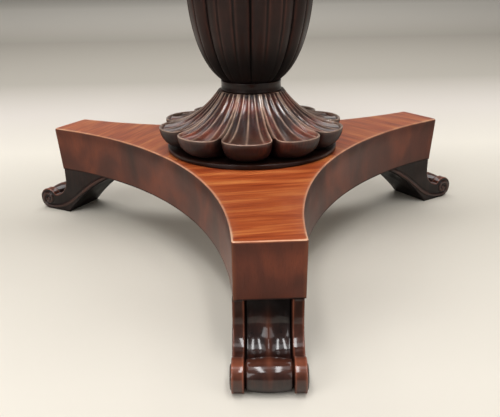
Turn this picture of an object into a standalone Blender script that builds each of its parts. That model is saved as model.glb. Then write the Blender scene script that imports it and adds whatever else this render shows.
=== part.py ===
"""Occasional table: a lobed baluster on a petal collar, a three-armed platform and scroll feet.

Lengths are metres, +Z is up, and the origin lies on the floor under the middle of the top.
Pieces that repeat on the three arms are drawn on an arm along +X and turned into place.
"""

from math import acos, cos, pi, radians, sin, sqrt, tau

import bmesh
import bpy
from mathutils import Matrix, Vector
from mathutils.geometry import interpolate_bezier

TABLE_NAME = "occasional_table"

# Fits: bedded faces keep a glue line, turned tenons and dowels a loose radial fit
GLUE_GAP = 0.0003
TENON_CLEARANCE = 0.0003
DOWEL_CLEARANCE = 0.0003
SCREW_CLEARANCE = 0.0003
WEDGE_CLEARANCE = 0.0003

# Three-armed platform
FRONT_ARM_ANGLE = radians(-90)
ARM_PITCH = radians(120)
ARM_LABELS = ("front", "right", "left")
SIDE_LABELS = ("right", "back", "left")
ARM_REACH = 0.232
ARM_WIDTH = 0.050
WAIST_RADIUS = 0.087
PLATFORM_THICKNESS = 0.046
END_CANT = 0.0055
VENEER_THICKNESS = 0.0015

# Scroll feet, measured outward from the foot's outer face
FOOT_HEIGHT = 0.0515
FOOT_SETBACK = 0.001
FOOT_LENGTH = 0.071
HEEL_SETBACK = 0.0005
VOLUTE_RADIUS = 0.012
VOLUTE_REACH = 0.041
VOLUTE_TUCK_ANGLE = radians(148)
COVE_TOP = 0.039
CHEEK_WIDTH = 0.008
PANEL_RECESS = 0.003
BARREL_RELIEF = 0.0015
REAR_TOP_HANDLE = Vector((0.022, -0.007))
REAR_HEEL_HANDLE = Vector((-0.021, 0.024))
BEAD_RADIUS = 0.0015
BEAD_RELIEF = 0.0010
BEAD_INSET = 0.0065
BEAD_START_INSET = 0.0030
BEAD_TOE_INSET = 0.0040
BEAD_SWEEP = 0.4
BEAD_EYE_RADIUS = 0.0030
BEAD_TURNS = 1.3
DOWEL_RADIUS = 0.005
DOWEL_DEPTH = 0.017
DOWEL_SETBACK = 0.020
DOWEL_SPACING = 0.022

# Plinth disc and petal collar
DISC_RADIUS = 0.0815
DISC_THICKNESS = 0.0045
DISC_ROUND = 0.0012
COLLAR_HEIGHT = 0.0505
COLLAR_NECK_RADIUS = 0.0312
COLLAR_RADIUS = 0.0890
COLLAR_FLARE = 2.5
COLLAR_TURN = radians(-6)
PETAL_COUNT = 10
PETAL_RIM_HEIGHT = 0.0195
PETAL_TIP_LENGTH = 0.0147
PETAL_TIP_HALF_WIDTH = 0.0219
PETAL_NOTCH_RADIUS = 0.056
PETAL_SPREAD = 0.5
BOWL_UNDERCUT = 0.020
VALLEY_UNDERCUT = 0.006
UNDERCUT_POWER = 3

# Carving across half a petal: the place, 0 on its middle and 1 in the valley, and the cut's depth
PETAL_CUTS = ((0.0, 0.0006), (0.26, 0.0026), (0.52, 0.0008), (0.72, 0.0020), (0.90, 0.0), (1.0, 0.0030))
PETAL_ROWS = (0.95, 0.82, 0.62, 0.40, 0.18)
BOWL_ANGLES = (radians(22), radians(45), radians(68))

# Baluster column
NECK_RING_RADIUS = 0.0285
NECK_RING_HEIGHT = 0.0095
NECK_RING_ROUND = 0.0010
TENON_RADIUS = 0.018
TENON_RECESS = 0.001
VASE_FOOT_RADIUS = 0.0280
VASE_BELLY_RADIUS = 0.0580
VASE_BELLY_HEIGHT = 0.088
VASE_HEIGHT = 0.350
VASE_TOP_RADIUS = 0.0225
VASE_FOOT_HANDLE = Vector((0.0175, 0.012))
VASE_BELLY_DROP = 0.042
VASE_BELLY_RISE = 0.095
VASE_TOP_DROP = 0.130
VASE_TURN = radians(-2.5)
LOBE_COUNT = 8
LOBE_VALLEY = 0.0038
LOBE_GROOVE = 0.0013
LOBE_SHARPNESS = 0.7
WEDGE_LENGTH = 0.026
WEDGE_WIDTH = 0.024
WEDGE_BUTT = 0.0040
WEDGE_TIP = 0.0015
UPPER_TENON_RADIUS = 0.013
UPPER_RING_RADIUS = 0.0310
UPPER_RING_HEIGHT = 0.0120
CAPITAL_HEIGHT = 0.128
CAPITAL_NECK_RADIUS = 0.0245
CAPITAL_RADIUS = 0.058
CAPITAL_FILLET = 0.006
CAPITAL_HANDLE = 0.043

# Bearers and top
BLOCK_SIZE = 0.150
BLOCK_THICKNESS = 0.022
BLOCK_CHAMFER = 0.004
BEARER_LENGTH = 0.440
BEARER_WIDTH = 0.040
BEARER_HEIGHT = 0.020
BEARER_CHAMFER = 0.010
BEARER_SPACING = 0.290
TOP_RADIUS = 0.300
TOP_THICKNESS = 0.022
TOP_EDGE_FILLET = 0.003
TOP_EDGE_DROP = 0.004
SCREW_HEAD_RADIUS = 0.0042
SCREW_HEAD_HEIGHT = 0.0030
SCREW_SHANK_RADIUS = 0.0021
SCREW_BITE = 0.013
SCREW_POINT = 0.004
BLOCK_SCREW_INSET = 0.018
BEARER_SCREW_SPACING = 0.180

# Facets round each form, the angle above which an edge is drawn sharp, and weld distances
SHARP_ANGLE = radians(35)
WELD_DISTANCE = 1e-6
TURN_WELD_DISTANCE = 1e-5
SIDE_SEGMENTS = 16
EYE_SEGMENTS = 12
ROLL_SEGMENTS = 12
COVE_SEGMENTS = 6
REAR_SEGMENTS = 8
BEAD_SEGMENTS_PER_TURN = 12
BEAD_SWEEP_POINTS = 5
BEAD_SKIPPED_SEGMENTS = 2
EDGE_SEGMENTS = 2
ROUND_SEGMENTS = 6
LOBE_SEGMENTS = 8
VASE_LOWER_POINTS = 8
VASE_UPPER_POINTS = 9
CAPITAL_POINTS = 9
BORE_STEPS = 28
DOWEL_STEPS = 12
SCREW_STEPS = 10
DISC_STEPS = 44
RING_STEPS = 32
CAPITAL_STEPS = 28
TOP_STEPS = 60

# Heights of the stacked pieces, from the floor up
PLATFORM_BOTTOM = FOOT_HEIGHT + GLUE_GAP
PLATFORM_TOP = PLATFORM_BOTTOM + PLATFORM_THICKNESS
CORE_TOP = PLATFORM_TOP - VENEER_THICKNESS - GLUE_GAP
DISC_BOTTOM = PLATFORM_TOP + GLUE_GAP
COLLAR_BOTTOM = DISC_BOTTOM + DISC_THICKNESS + GLUE_GAP
NECK_RING_BOTTOM = COLLAR_BOTTOM + COLLAR_HEIGHT + GLUE_GAP
VASE_BOTTOM = NECK_RING_BOTTOM + NECK_RING_HEIGHT + GLUE_GAP
UPPER_RING_BOTTOM = VASE_BOTTOM + VASE_HEIGHT + GLUE_GAP
CAPITAL_BOTTOM = UPPER_RING_BOTTOM + UPPER_RING_HEIGHT + GLUE_GAP
BLOCK_BOTTOM = CAPITAL_BOTTOM + CAPITAL_HEIGHT + GLUE_GAP
BLOCK_TOP = BLOCK_BOTTOM + BLOCK_THICKNESS
TOP_BOTTOM = BLOCK_TOP + GLUE_GAP
TENON_BORE = TENON_RADIUS + TENON_CLEARANCE
UPPER_BORE = UPPER_TENON_RADIUS + TENON_CLEARANCE
FOOT_FACE = ARM_REACH - END_CANT - FOOT_SETBACK


def clear_scene():
    """Remove every object that the file opened with."""
    for obj in list(bpy.data.objects):
        bpy.data.objects.remove(obj, do_unlink=True)


def new_collection(name):
    """Return a new collection linked to the scene."""
    collection = bpy.data.collections.new(name)
    bpy.context.scene.collection.children.link(collection)
    return collection


clear_scene()
PARTS = new_collection(TABLE_NAME)
CUTTERS = new_collection("cutters")
ROOT = bpy.data.objects.new(TABLE_NAME + "_origin", None)
PARTS.objects.link(ROOT)


def new_material(name, colour, roughness, metallic=0.0):
    """Return a Principled material with a linear colour."""
    material = bpy.data.materials.new(name)
    material.use_nodes = True
    shader = material.node_tree.nodes["Principled BSDF"]
    shader.inputs["Base Color"].default_value = (*colour, 1.0)
    shader.inputs["Roughness"].default_value = roughness
    shader.inputs["Metallic"].default_value = metallic
    return material


CARVED_MAHOGANY = new_material("carved_mahogany", (0.035, 0.014, 0.009), 0.25)
TURNED_MAHOGANY = new_material("turned_mahogany", (0.030, 0.013, 0.009), 0.28)
TOP_VENEER = new_material("figured_veneer", (0.270, 0.085, 0.030), 0.32)
EDGE_VENEER = new_material("edge_veneer", (0.110, 0.030, 0.014), 0.35)
TABLE_TOP = new_material("table_top_mahogany", (0.220, 0.070, 0.026), 0.25)
PINE = new_material("pine_core", (0.420, 0.260, 0.120), 0.75)
BEECH = new_material("beech_dowel", (0.520, 0.360, 0.200), 0.70)
IRON = new_material("iron_screw", (0.150, 0.145, 0.140), 0.50, 1.0)


def add_piece(name, mesh, material, turn=0.0):
    """Add a mesh to the table as a named piece, turned about the column's axis."""
    obj = bpy.data.objects.new(name, mesh)
    PARTS.objects.link(obj)
    obj.parent = ROOT
    obj.rotation_euler.z = turn
    if not mesh.materials:
        mesh.materials.append(material)
    mesh.shade_smooth()
    mesh.set_sharp_from_angle(angle=SHARP_ANGLE)
    return obj


def add_cutter(name, mesh):
    """Add a mesh that only shapes other pieces."""
    obj = bpy.data.objects.new(name, mesh)
    CUTTERS.objects.link(obj)
    obj.hide_render = True
    obj.display_type = "WIRE"
    return obj


def combine(obj, other, operation="DIFFERENCE"):
    """Cut a piece with another object, or join the two."""
    modifier = obj.modifiers.new(other.name, "BOOLEAN")
    modifier.operation = operation
    modifier.object = other
    modifier.solver = "EXACT"


def finished_mesh(obj):
    """Return an object's shape with its modifiers applied, as a new welded mesh."""
    bpy.context.view_layer.update()
    depsgraph = bpy.context.evaluated_depsgraph_get()
    mesh = bpy.data.meshes.new_from_object(obj.evaluated_get(depsgraph))
    shape = bmesh.new()
    shape.from_mesh(mesh)
    bmesh.ops.remove_doubles(shape, verts=shape.verts, dist=WELD_DISTANCE)
    shape.to_mesh(mesh)
    shape.free()
    return mesh


def slab(name, outline, bottom, top):
    """Return the mesh of a flat outline of (x, y) points, raised between two heights."""
    curve = bpy.data.curves.new(name, "CURVE")
    curve.dimensions = "2D"
    curve.fill_mode = "BOTH"
    curve.extrude = (top - bottom) / 2
    spline = curve.splines.new("POLY")
    spline.points.add(len(outline) - 1)
    for point, (x, y) in zip(spline.points, outline):
        point.co = (x, y, 0.0, 1.0)
    spline.use_cyclic_u = True
    guide = bpy.data.objects.new(name, curve)
    CUTTERS.objects.link(guide)
    mesh = finished_mesh(guide)
    bpy.data.objects.remove(guide)
    mesh.transform(Matrix.Translation((0.0, 0.0, (bottom + top) / 2)))
    return mesh


def upright_slab(name, outline, left, right):
    """Return the mesh of an outline of (x, z) points, widened between two places on Y."""
    mesh = slab(name, outline, -right, -left)
    mesh.transform(Matrix.Rotation(pi / 2, 4, "X"))
    return mesh


def turned(name, profile, steps, bored=False):
    """Return the mesh of a profile of (radius, z) points turned about Z.

    The profile runs down the outer side from the top; a bored one closes up its inner side.
    """
    points = [(radius, 0.0, z) for radius, z in profile]
    edges = [(i, i + 1) for i in range(len(points) - 1)]
    if bored:
        edges.append((len(points) - 1, 0))
    mesh = bpy.data.meshes.new(name)
    mesh.from_pydata(points, edges, [])
    guide = bpy.data.objects.new(name, mesh)
    CUTTERS.objects.link(guide)
    screw = guide.modifiers.new("turn", "SCREW")
    screw.axis = "Z"
    screw.angle = tau
    screw.steps = steps
    screw.render_steps = steps
    screw.use_merge_vertices = True
    screw.merge_threshold = TURN_WELD_DISTANCE
    result = finished_mesh(guide)
    bpy.data.objects.remove(guide)
    return result


def loft(name, rings, wrap):
    """Skin a stack of rings of equally many points, bottom ring first.

    A wrapped loft joins its last ring to its first; any other is capped at both ends.
    """
    count = len(rings[0])
    points = [point for ring in rings for point in ring]
    pairs = [(row, row + 1) for row in range(len(rings) - 1)]
    if wrap:
        pairs.append((len(rings) - 1, 0))
    faces = []
    for low, high in pairs:
        for i in range(count):
            j = (i + 1) % count
            faces.append((low * count + i, low * count + j, high * count + j, high * count + i))
    if not wrap:
        faces.append(tuple(reversed(range(count))))
        faces.append(tuple(range(len(points) - count, len(points))))
    mesh = bpy.data.meshes.new(name)
    mesh.from_pydata(points, [], faces)
    mesh.validate()
    return mesh


def copies(mesh, places):
    """Return one mesh with a copy of another at each (x, y, z) place."""
    shape = bmesh.new()
    for place in places:
        moved = mesh.copy()
        moved.transform(Matrix.Translation(place))
        shape.from_mesh(moved)
    result = bpy.data.meshes.new(mesh.name + "_set")
    shape.to_mesh(result)
    shape.free()
    return result


def arc(centre, radius, start, end, segments):
    """Return the (x, y) points of an arc, both ends included."""
    steps = [start + (end - start) * i / segments for i in range(segments + 1)]
    return [(centre[0] + radius * cos(a), centre[1] + radius * sin(a)) for a in steps]


def rotated(points, angle):
    """Return (x, y) points turned about the origin."""
    turn = Matrix.Rotation(angle, 2)
    return [tuple(turn @ Vector(point)) for point in points]


def mirrored(points):
    """Return (x, y) points mirrored in the X axis, in reverse order."""
    return [(x, -y) for x, y in reversed(points)]


def arm_angle(index):
    """Return the direction of an arm, the front arm first."""
    return FRONT_ARM_ANGLE + index * ARM_PITCH


def side_circle():
    """Return the centre and radius of the hollow side that follows the arm along +X.

    The circle passes through both arms' end corners and through the waist between them,
    so its centre lies on their bisector.
    """
    half = ARM_PITCH / 2
    across = ARM_REACH * cos(half) + ARM_WIDTH / 2 * sin(half)
    corner = ARM_REACH ** 2 + ARM_WIDTH ** 2 / 4
    distance = (corner - WAIST_RADIUS ** 2) / (2 * (across - WAIST_RADIUS))
    return (distance * cos(half), distance * sin(half)), distance - WAIST_RADIUS


def side_arc(inset, reach, segments, to_waist=False, mitre=0.0):
    """Return a hollow side's points, from the arm along +X to the next arm or to the waist.

    The inset moves the side into the platform, and the reach says where on the arm it starts.
    """
    centre, radius = side_circle()
    radius = radius + inset
    start = -acos((reach - centre[0]) / radius)
    waist = ARM_PITCH / 2 - pi
    end = waist + mitre / radius if to_waist else 2 * waist - start
    return arc(centre, radius, start, end, segments)


def platform_outline(inset):
    """Return the platform's plan, drawn in from its faces by an inset."""
    points = []
    for index in range(len(ARM_LABELS)):
        points += rotated(side_arc(inset, ARM_REACH - inset, SIDE_SEGMENTS), arm_angle(index))
    return points


def dowel_places():
    """Return the (x, y) places of the dowels in the foot along +X."""
    x = FOOT_FACE - DOWEL_SETBACK
    return [(x, -DOWEL_SPACING / 2), (x, DOWEL_SPACING / 2)]


def dowel_mesh(radius, length, middle):
    """Return an upright dowel at the origin, or the hole for one."""
    half = length / 2
    top = middle + half
    bottom = middle - half
    profile = [(0.0, top), (radius, top), (radius, bottom), (0.0, bottom)]
    return turned("dowel", profile, DOWEL_STEPS)


def end_reach(height):
    """Return the reach of an arm's end at a height: it leans in towards the foot by END_CANT."""
    return ARM_REACH - END_CANT * (PLATFORM_TOP - height) / PLATFORM_THICKNESS


def end_wedges():
    """Return a cutter that cants the core and the side veneers behind the three end veneers."""
    shape = bmesh.new()
    inset = VENEER_THICKNESS + GLUE_GAP
    high = PLATFORM_TOP + PLATFORM_THICKNESS
    far = ARM_REACH + ARM_WIDTH
    section = [(end_reach(0.0) - inset, 0.0), (far, 0.0), (far, high), (end_reach(high) - inset, high)]
    wedge = upright_slab("end_wedge", section, -ARM_WIDTH, ARM_WIDTH)
    for index in range(len(ARM_LABELS)):
        moved = wedge.copy()
        moved.transform(Matrix.Rotation(arm_angle(index), 4, "Z"))
        shape.from_mesh(moved)
    mesh = bpy.data.meshes.new("end_wedges")
    shape.to_mesh(mesh)
    shape.free()
    return add_cutter("end_wedges", mesh)


def build_platform(wedges):
    """Make the pine core with canted ends, its tenon hole and dowel holes."""
    outline = platform_outline(VENEER_THICKNESS + GLUE_GAP)
    core = add_piece("platform_core", slab("core", outline, PLATFORM_BOTTOM, CORE_TOP), PINE)
    combine(core, wedges)
    bore = [(0.0, PLATFORM_TOP), (TENON_BORE, PLATFORM_TOP), (TENON_BORE, 0.0), (0.0, 0.0)]
    combine(core, add_cutter("tenon_hole", turned("tenon_hole", bore, BORE_STEPS)))
    hole = dowel_mesh(DOWEL_RADIUS + DOWEL_CLEARANCE, 2 * (DOWEL_DEPTH + DOWEL_CLEARANCE), FOOT_HEIGHT)
    places = []
    for index in range(len(ARM_LABELS)):
        places += [(x, y, 0.0) for x, y in rotated(dowel_places(), arm_angle(index))]
    combine(core, add_cutter("platform_dowel_holes", copies(hole, places)))


def build_veneers(wedges):
    """Lay the top, side and end veneers on the core."""
    half_gap = GLUE_GAP / 2
    half_pitch = ARM_PITCH / 2
    eye = half_pitch - half_gap / TENON_BORE
    flank = side_arc(0.0, ARM_REACH, SIDE_SEGMENTS // 2, to_waist=True, mitre=half_gap)
    top = flank + list(reversed(arc((0.0, 0.0), TENON_BORE, -eye, eye, EYE_SEGMENTS))) + mirrored(flank)
    side_end = ARM_REACH - VENEER_THICKNESS - GLUE_GAP
    side = side_arc(0.0, side_end, SIDE_SEGMENTS)
    side += reversed(side_arc(VENEER_THICKNESS, side_end, SIDE_SEGMENTS))
    half = ARM_WIDTH / 2
    top_mesh = slab("top_veneer", top, PLATFORM_TOP - VENEER_THICKNESS, PLATFORM_TOP)
    side_mesh = slab("side_veneer", side, PLATFORM_BOTTOM, CORE_TOP)
    foot = end_reach(PLATFORM_BOTTOM)
    head = end_reach(CORE_TOP)
    end = [(foot - VENEER_THICKNESS, PLATFORM_BOTTOM), (foot, PLATFORM_BOTTOM),
           (head, CORE_TOP), (head - VENEER_THICKNESS, CORE_TOP)]
    end_mesh = upright_slab("end_veneer", end, -half, half)
    for index, label in enumerate(ARM_LABELS):
        turn = arm_angle(index)
        add_piece("top_veneer_" + label, top_mesh, TOP_VENEER, turn)
        add_piece("end_veneer_" + label, end_mesh, EDGE_VENEER, turn)
    for index, label in enumerate(SIDE_LABELS):
        combine(add_piece("side_veneer_" + label, side_mesh, EDGE_VENEER, arm_angle(index)), wedges)


def volute_centre():
    """Return the (x, z) middle of the toe's scroll on the arm along +X."""
    return FOOT_FACE + VOLUTE_REACH - VOLUTE_RADIUS, VOLUTE_RADIUS


def rear_curve():
    """Return the (x, z) points of the foot's back, from the platform down to the heel."""
    top = Vector((FOOT_FACE - FOOT_LENGTH, FOOT_HEIGHT))
    heel = Vector((FOOT_FACE - HEEL_SETBACK, 0.0))
    handles = (top + REAR_TOP_HANDLE, heel + REAR_HEEL_HANDLE)
    curve = interpolate_bezier(top, *handles, heel, REAR_SEGMENTS + 1)
    return [tuple(point[:2]) for point in curve]


def cove_and_roll(recess, relief):
    """Return the foot's front from the platform down the cove and round the toe to its sole.

    The recess moves the cove back from the foot's face, and the relief shrinks the roll.
    """
    x, z = volute_centre()
    radius = VOLUTE_RADIUS - relief
    roll = arc((x, z), radius, VOLUTE_TUCK_ANGLE, -pi / 2, ROLL_SEGMENTS)
    tuck_x, tuck_z = roll[0]
    face = FOOT_FACE - recess
    cove = []
    for i in range(COVE_SEGMENTS):
        angle = pi / 2 * i / COVE_SEGMENTS
        out = (tuck_x - face) * (1 - cos(angle))
        down = (COVE_TOP - tuck_z) * sin(angle)
        cove.append((face + out, COVE_TOP - down))
    return cove + roll


def bead_path():
    """Return the (x, z) points of the bead along the foot's back and sole and into the scroll."""
    back = rear_curve()
    first = BEAD_SKIPPED_SEGMENTS
    last = REAR_SEGMENTS - first - 1
    points = []
    for i in range(first, last + 1):
        run = Vector(back[i + 1]) - Vector(back[i - 1])
        inset = BEAD_START_INSET + (BEAD_INSET - BEAD_START_INSET) * (i - first) / (last - first)
        points.append(Vector(back[i]) + Vector((-run.y, run.x)).normalized() * inset)
    x, z = volute_centre()
    outer = VOLUTE_RADIUS - BEAD_TOE_INSET
    landing = Vector((x, z - outer))
    leaving = points[-1]
    heading = (leaving - points[-2]).normalized()
    reach = (landing - leaving).length * BEAD_SWEEP
    handles = (leaving + heading * reach, landing - Vector((reach, 0.0)))
    sweep = interpolate_bezier(leaving, *handles, landing, BEAD_SWEEP_POINTS)
    points += [Vector(point[:2]) for point in sweep[1:]]
    steps = round(BEAD_TURNS * BEAD_SEGMENTS_PER_TURN)
    for i in range(1, steps + 1):
        share = i / steps
        radius = outer + (BEAD_EYE_RADIUS - outer) * share
        angle = -pi / 2 + tau * BEAD_TURNS * share
        points.append(Vector((x + radius * cos(angle), z + radius * sin(angle))))
    return points


def bead_mesh(place):
    """Return the bead as a round rod, sunk in the foot's side at a place on Y."""
    path = bead_path()
    curve = bpy.data.curves.new("bead", "CURVE")
    curve.dimensions = "3D"
    curve.bevel_depth = BEAD_RADIUS
    curve.bevel_resolution = 1
    curve.use_fill_caps = True
    spline = curve.splines.new("POLY")
    spline.points.add(len(path) - 1)
    for point, spot in zip(spline.points, path):
        point.co = (spot.x, place, spot.y, 1.0)
    guide = bpy.data.objects.new("bead", curve)
    CUTTERS.objects.link(guide)
    mesh = finished_mesh(guide)
    bpy.data.objects.remove(guide)
    return mesh


def build_feet():
    """Carve one scroll foot, then set it under each arm on two dowels."""
    half = ARM_WIDTH / 2
    front = [(FOOT_FACE, FOOT_HEIGHT)] + cove_and_roll(0.0, 0.0)
    outline = front + list(reversed(rear_curve()))
    blank = upright_slab("foot", list(reversed(outline)), -half, half)
    body = add_piece("foot_blank", blank, CARVED_MAHOGANY)
    clear = VOLUTE_REACH
    panel = [(FOOT_FACE - PANEL_RECESS, FOOT_HEIGHT + clear)] + cove_and_roll(PANEL_RECESS, BARREL_RELIEF)
    beyond = FOOT_FACE + 2 * clear
    panel += [(panel[-1][0], -clear), (beyond, -clear), (beyond, FOOT_HEIGHT + clear)]
    wide = half - CHEEK_WIDTH
    combine(body, add_cutter("foot_panel", upright_slab("foot_panel", panel, -wide, wide)))
    sunk = half + BEAD_RELIEF - BEAD_RADIUS
    for side, label in ((-1, "near"), (1, "far")):
        combine(body, add_cutter("foot_bead_" + label, bead_mesh(side * sunk)), "UNION")
    hole = dowel_mesh(DOWEL_RADIUS + DOWEL_CLEARANCE, 2 * (DOWEL_DEPTH + DOWEL_CLEARANCE), FOOT_HEIGHT)
    holes = copies(hole, [(x, y, 0.0) for x, y in dowel_places()])
    combine(body, add_cutter("foot_dowel_holes", holes))
    foot = finished_mesh(body)
    bpy.data.objects.remove(body)
    dowel = dowel_mesh(DOWEL_RADIUS, 2 * DOWEL_DEPTH, FOOT_HEIGHT)
    pegs = [copies(dowel, [(x, y, 0.0)]) for x, y in dowel_places()]
    for index, label in enumerate(ARM_LABELS):
        add_piece("scroll_foot_" + label, foot, CARVED_MAHOGANY, arm_angle(index))
        for peg, place in zip(pegs, ("a", "b")):
            add_piece(f"foot_dowel_{label}_{place}", peg, BEECH, arm_angle(index))


def band_profile(radius, bottom, height, edge, bore):
    """Return the profile of a bored round band whose outer edges are rounded."""
    top = bottom + height
    profile = [(bore, top)]
    profile += arc((radius - edge, top - edge), edge, pi / 2, 0.0, EDGE_SEGMENTS)
    profile += arc((radius - edge, bottom + edge), edge, 0.0, -pi / 2, EDGE_SEGMENTS)
    return profile + [(bore, bottom)]


def torus_profile(radius, bottom, height, bore):
    """Return the profile of a bored ring with a half-round outer face."""
    half = height / 2
    face = arc((radius - half, bottom + half), half, pi / 2, -pi / 2, ROUND_SEGMENTS)
    return [(bore, bottom + height)] + face + [(bore, bottom)]


def petal_edge(offset):
    """Return the collar's reach at an offset across a petal, 0 on its middle and 1 in a valley.

    The petal's tip is half an ellipse; beyond the last direction that meets it lies the valley.
    """
    angle = pi / PETAL_COUNT * offset
    middle = COLLAR_RADIUS - PETAL_TIP_LENGTH
    along = (cos(angle) / PETAL_TIP_LENGTH) ** 2 + (sin(angle) / PETAL_TIP_HALF_WIDTH) ** 2
    lean = cos(angle) * middle / PETAL_TIP_LENGTH ** 2
    spare = lean ** 2 - along * ((middle / PETAL_TIP_LENGTH) ** 2 - 1)
    if spare < 0 or abs(offset) == 1.0:
        return PETAL_NOTCH_RADIUS
    return (lean + sqrt(spare)) / along


def collar_trumpet(radius):
    """Return the height of the collar's flare above its base at a radius."""
    inside = max(0.0, COLLAR_RADIUS - radius)  # a petal's tip can lie a rounding error beyond the radius
    share = inside / (COLLAR_RADIUS - COLLAR_NECK_RADIUS)
    return PETAL_RIM_HEIGHT + (COLLAR_HEIGHT - PETAL_RIM_HEIGHT) * share ** COLLAR_FLARE


def collar_section(offset, cut):
    """Return a petal's (radius, height) points, from the bore under it to the bore at the neck.

    The cut deepens from nothing at the neck, and only the valley's cut runs out over the rim.
    """
    edge = petal_edge(offset)
    in_valley = abs(offset) == 1.0
    seat = edge - BOWL_UNDERCUT + (BOWL_UNDERCUT - VALLEY_UNDERCUT) * abs(offset) ** UNDERCUT_POWER
    rim = collar_trumpet(edge) - (cut if in_valley else 0.0)
    points = [(TENON_BORE, 0.0), (seat, 0.0)]
    for angle in BOWL_ANGLES:
        points.append((seat + (edge - seat) * sin(angle), rim * (1 - cos(angle))))
    points.append((edge, rim))
    for along in PETAL_ROWS:
        radius = COLLAR_NECK_RADIUS + (edge - COLLAR_NECK_RADIUS) * along
        points.append((radius, collar_trumpet(radius) - cut * min(1.0, along / PETAL_SPREAD)))
    points.append((COLLAR_NECK_RADIUS, COLLAR_HEIGHT))
    points.append((TENON_BORE, COLLAR_HEIGHT))
    return points


def build_collar():
    """Make the plinth disc and the carved collar of petals."""
    disc = band_profile(DISC_RADIUS, DISC_BOTTOM, DISC_THICKNESS, DISC_ROUND, TENON_BORE)
    add_piece("plinth_disc", turned("plinth_disc", disc, DISC_STEPS, bored=True), TURNED_MAHOGANY)
    cuts = [(-place, depth) for place, depth in reversed(PETAL_CUTS)] + list(PETAL_CUTS[1:-1])
    columns = []
    for petal in range(PETAL_COUNT):
        for offset, depth in cuts:
            angle = FRONT_ARM_ANGLE + COLLAR_TURN + tau * (petal + offset / 2) / PETAL_COUNT
            columns.append((angle, collar_section(offset, depth)))
    rings = []
    for row in range(len(columns[0][1])):
        ring = [(s[row][0] * cos(a), s[row][0] * sin(a), COLLAR_BOTTOM + s[row][1]) for a, s in columns]
        rings.append(ring)
    add_piece("petal_collar", loft("petal_collar", rings, wrap=True), CARVED_MAHOGANY)


def vase_outline():
    """Return the (radius, height) points of the baluster's swelling side above its shoulder."""
    foot = Vector((VASE_FOOT_RADIUS, 0.0))
    belly = Vector((VASE_BELLY_RADIUS, VASE_BELLY_HEIGHT))
    neck = Vector((VASE_TOP_RADIUS, VASE_HEIGHT))
    below = belly - Vector((0.0, VASE_BELLY_DROP))
    above = belly + Vector((0.0, VASE_BELLY_RISE))
    under_neck = neck - Vector((0.0, VASE_TOP_DROP))
    lower = interpolate_bezier(foot, foot + VASE_FOOT_HANDLE, below, belly, VASE_LOWER_POINTS)
    upper = interpolate_bezier(belly, above, under_neck, neck, VASE_UPPER_POINTS)
    return [tuple(point[:2]) for point in lower + upper[1:]]


def lobe_depth(angle):
    """Return the carving's depth round the baluster: deep valleys, with a groove along each lobe."""
    reed = abs(sin(angle * LOBE_COUNT))
    valley = cos(angle * LOBE_COUNT / 2) ** 2
    return (LOBE_GROOVE + (LOBE_VALLEY - LOBE_GROOVE) * valley) * (1 - reed ** LOBE_SHARPNESS)


def circle_ring(radius, z, count):
    """Return a level ring of points."""
    return [(radius * cos(tau * i / count), radius * sin(tau * i / count), z) for i in range(count)]


def build_vase():
    """Make the lobed baluster with its two tenons, and the wedge that spreads the lower one."""
    count = LOBE_COUNT * LOBE_SEGMENTS
    tenon_end = PLATFORM_BOTTOM + TENON_RECESS
    upper_end = BLOCK_TOP - TENON_RECESS
    rings = [circle_ring(TENON_RADIUS, tenon_end, count), circle_ring(TENON_RADIUS, VASE_BOTTOM, count)]
    for radius, height in vase_outline():
        ring = []
        for i in range(count):
            angle = tau * i / count
            reach = radius - lobe_depth(angle) * radius / VASE_BELLY_RADIUS
            ring.append((reach * cos(angle), reach * sin(angle), VASE_BOTTOM + height))
        rings.append(ring)
    rings.append(circle_ring(UPPER_TENON_RADIUS, VASE_BOTTOM + VASE_HEIGHT, count))
    rings.append(circle_ring(UPPER_TENON_RADIUS, upper_end, count))
    vase = add_piece("lobed_vase", loft("lobed_vase", rings, wrap=False), CARVED_MAHOGANY,
                     FRONT_ARM_ANGLE + VASE_TURN)
    slot = wedge_mesh(WEDGE_CLEARANCE, tenon_end, TENON_RADIUS)
    combine(vase, add_cutter("wedge_slot", slot))
    add_piece("tenon_wedge", wedge_mesh(0.0, tenon_end, WEDGE_WIDTH / 2), BEECH)


def wedge_mesh(grow, bottom, half_width):
    """Return the tenon's wedge, or with some growth the slot for it, from its butt up."""
    butt = WEDGE_BUTT / 2 + grow
    tip = WEDGE_TIP / 2 + grow
    top = bottom + WEDGE_LENGTH + grow
    low = bottom - grow
    outline = [(-butt, low), (butt, low), (tip, top), (-tip, top)]
    reach = half_width + grow
    return upright_slab("wedge", outline, -reach, reach)


def build_column_turnings():
    """Make the turned rings below and above the baluster, and the flared capital."""
    ring = band_profile(NECK_RING_RADIUS, NECK_RING_BOTTOM, NECK_RING_HEIGHT, NECK_RING_ROUND, TENON_BORE)
    add_piece("neck_ring", turned("neck_ring", ring, RING_STEPS, bored=True), TURNED_MAHOGANY)
    ring = torus_profile(UPPER_RING_RADIUS, UPPER_RING_BOTTOM, UPPER_RING_HEIGHT, UPPER_BORE)
    add_piece("upper_ring", turned("upper_ring", ring, RING_STEPS, bored=True), TURNED_MAHOGANY)
    top = CAPITAL_BOTTOM + CAPITAL_HEIGHT
    lip = top - CAPITAL_FILLET
    swell = CAPITAL_RADIUS - CAPITAL_FILLET
    bend = lip - CAPITAL_HANDLE
    flare = interpolate_bezier(Vector((swell, lip)), Vector((swell, bend)),
                               Vector((CAPITAL_NECK_RADIUS, bend)),
                               Vector((CAPITAL_NECK_RADIUS, CAPITAL_BOTTOM)), CAPITAL_POINTS)
    profile = [(UPPER_BORE, top), (CAPITAL_RADIUS, top), (CAPITAL_RADIUS, lip)]
    profile += [tuple(point[:2]) for point in flare]
    profile.append((UPPER_BORE, CAPITAL_BOTTOM))
    add_piece("capital", turned("capital", profile, CAPITAL_STEPS, bored=True), TURNED_MAHOGANY)


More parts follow.
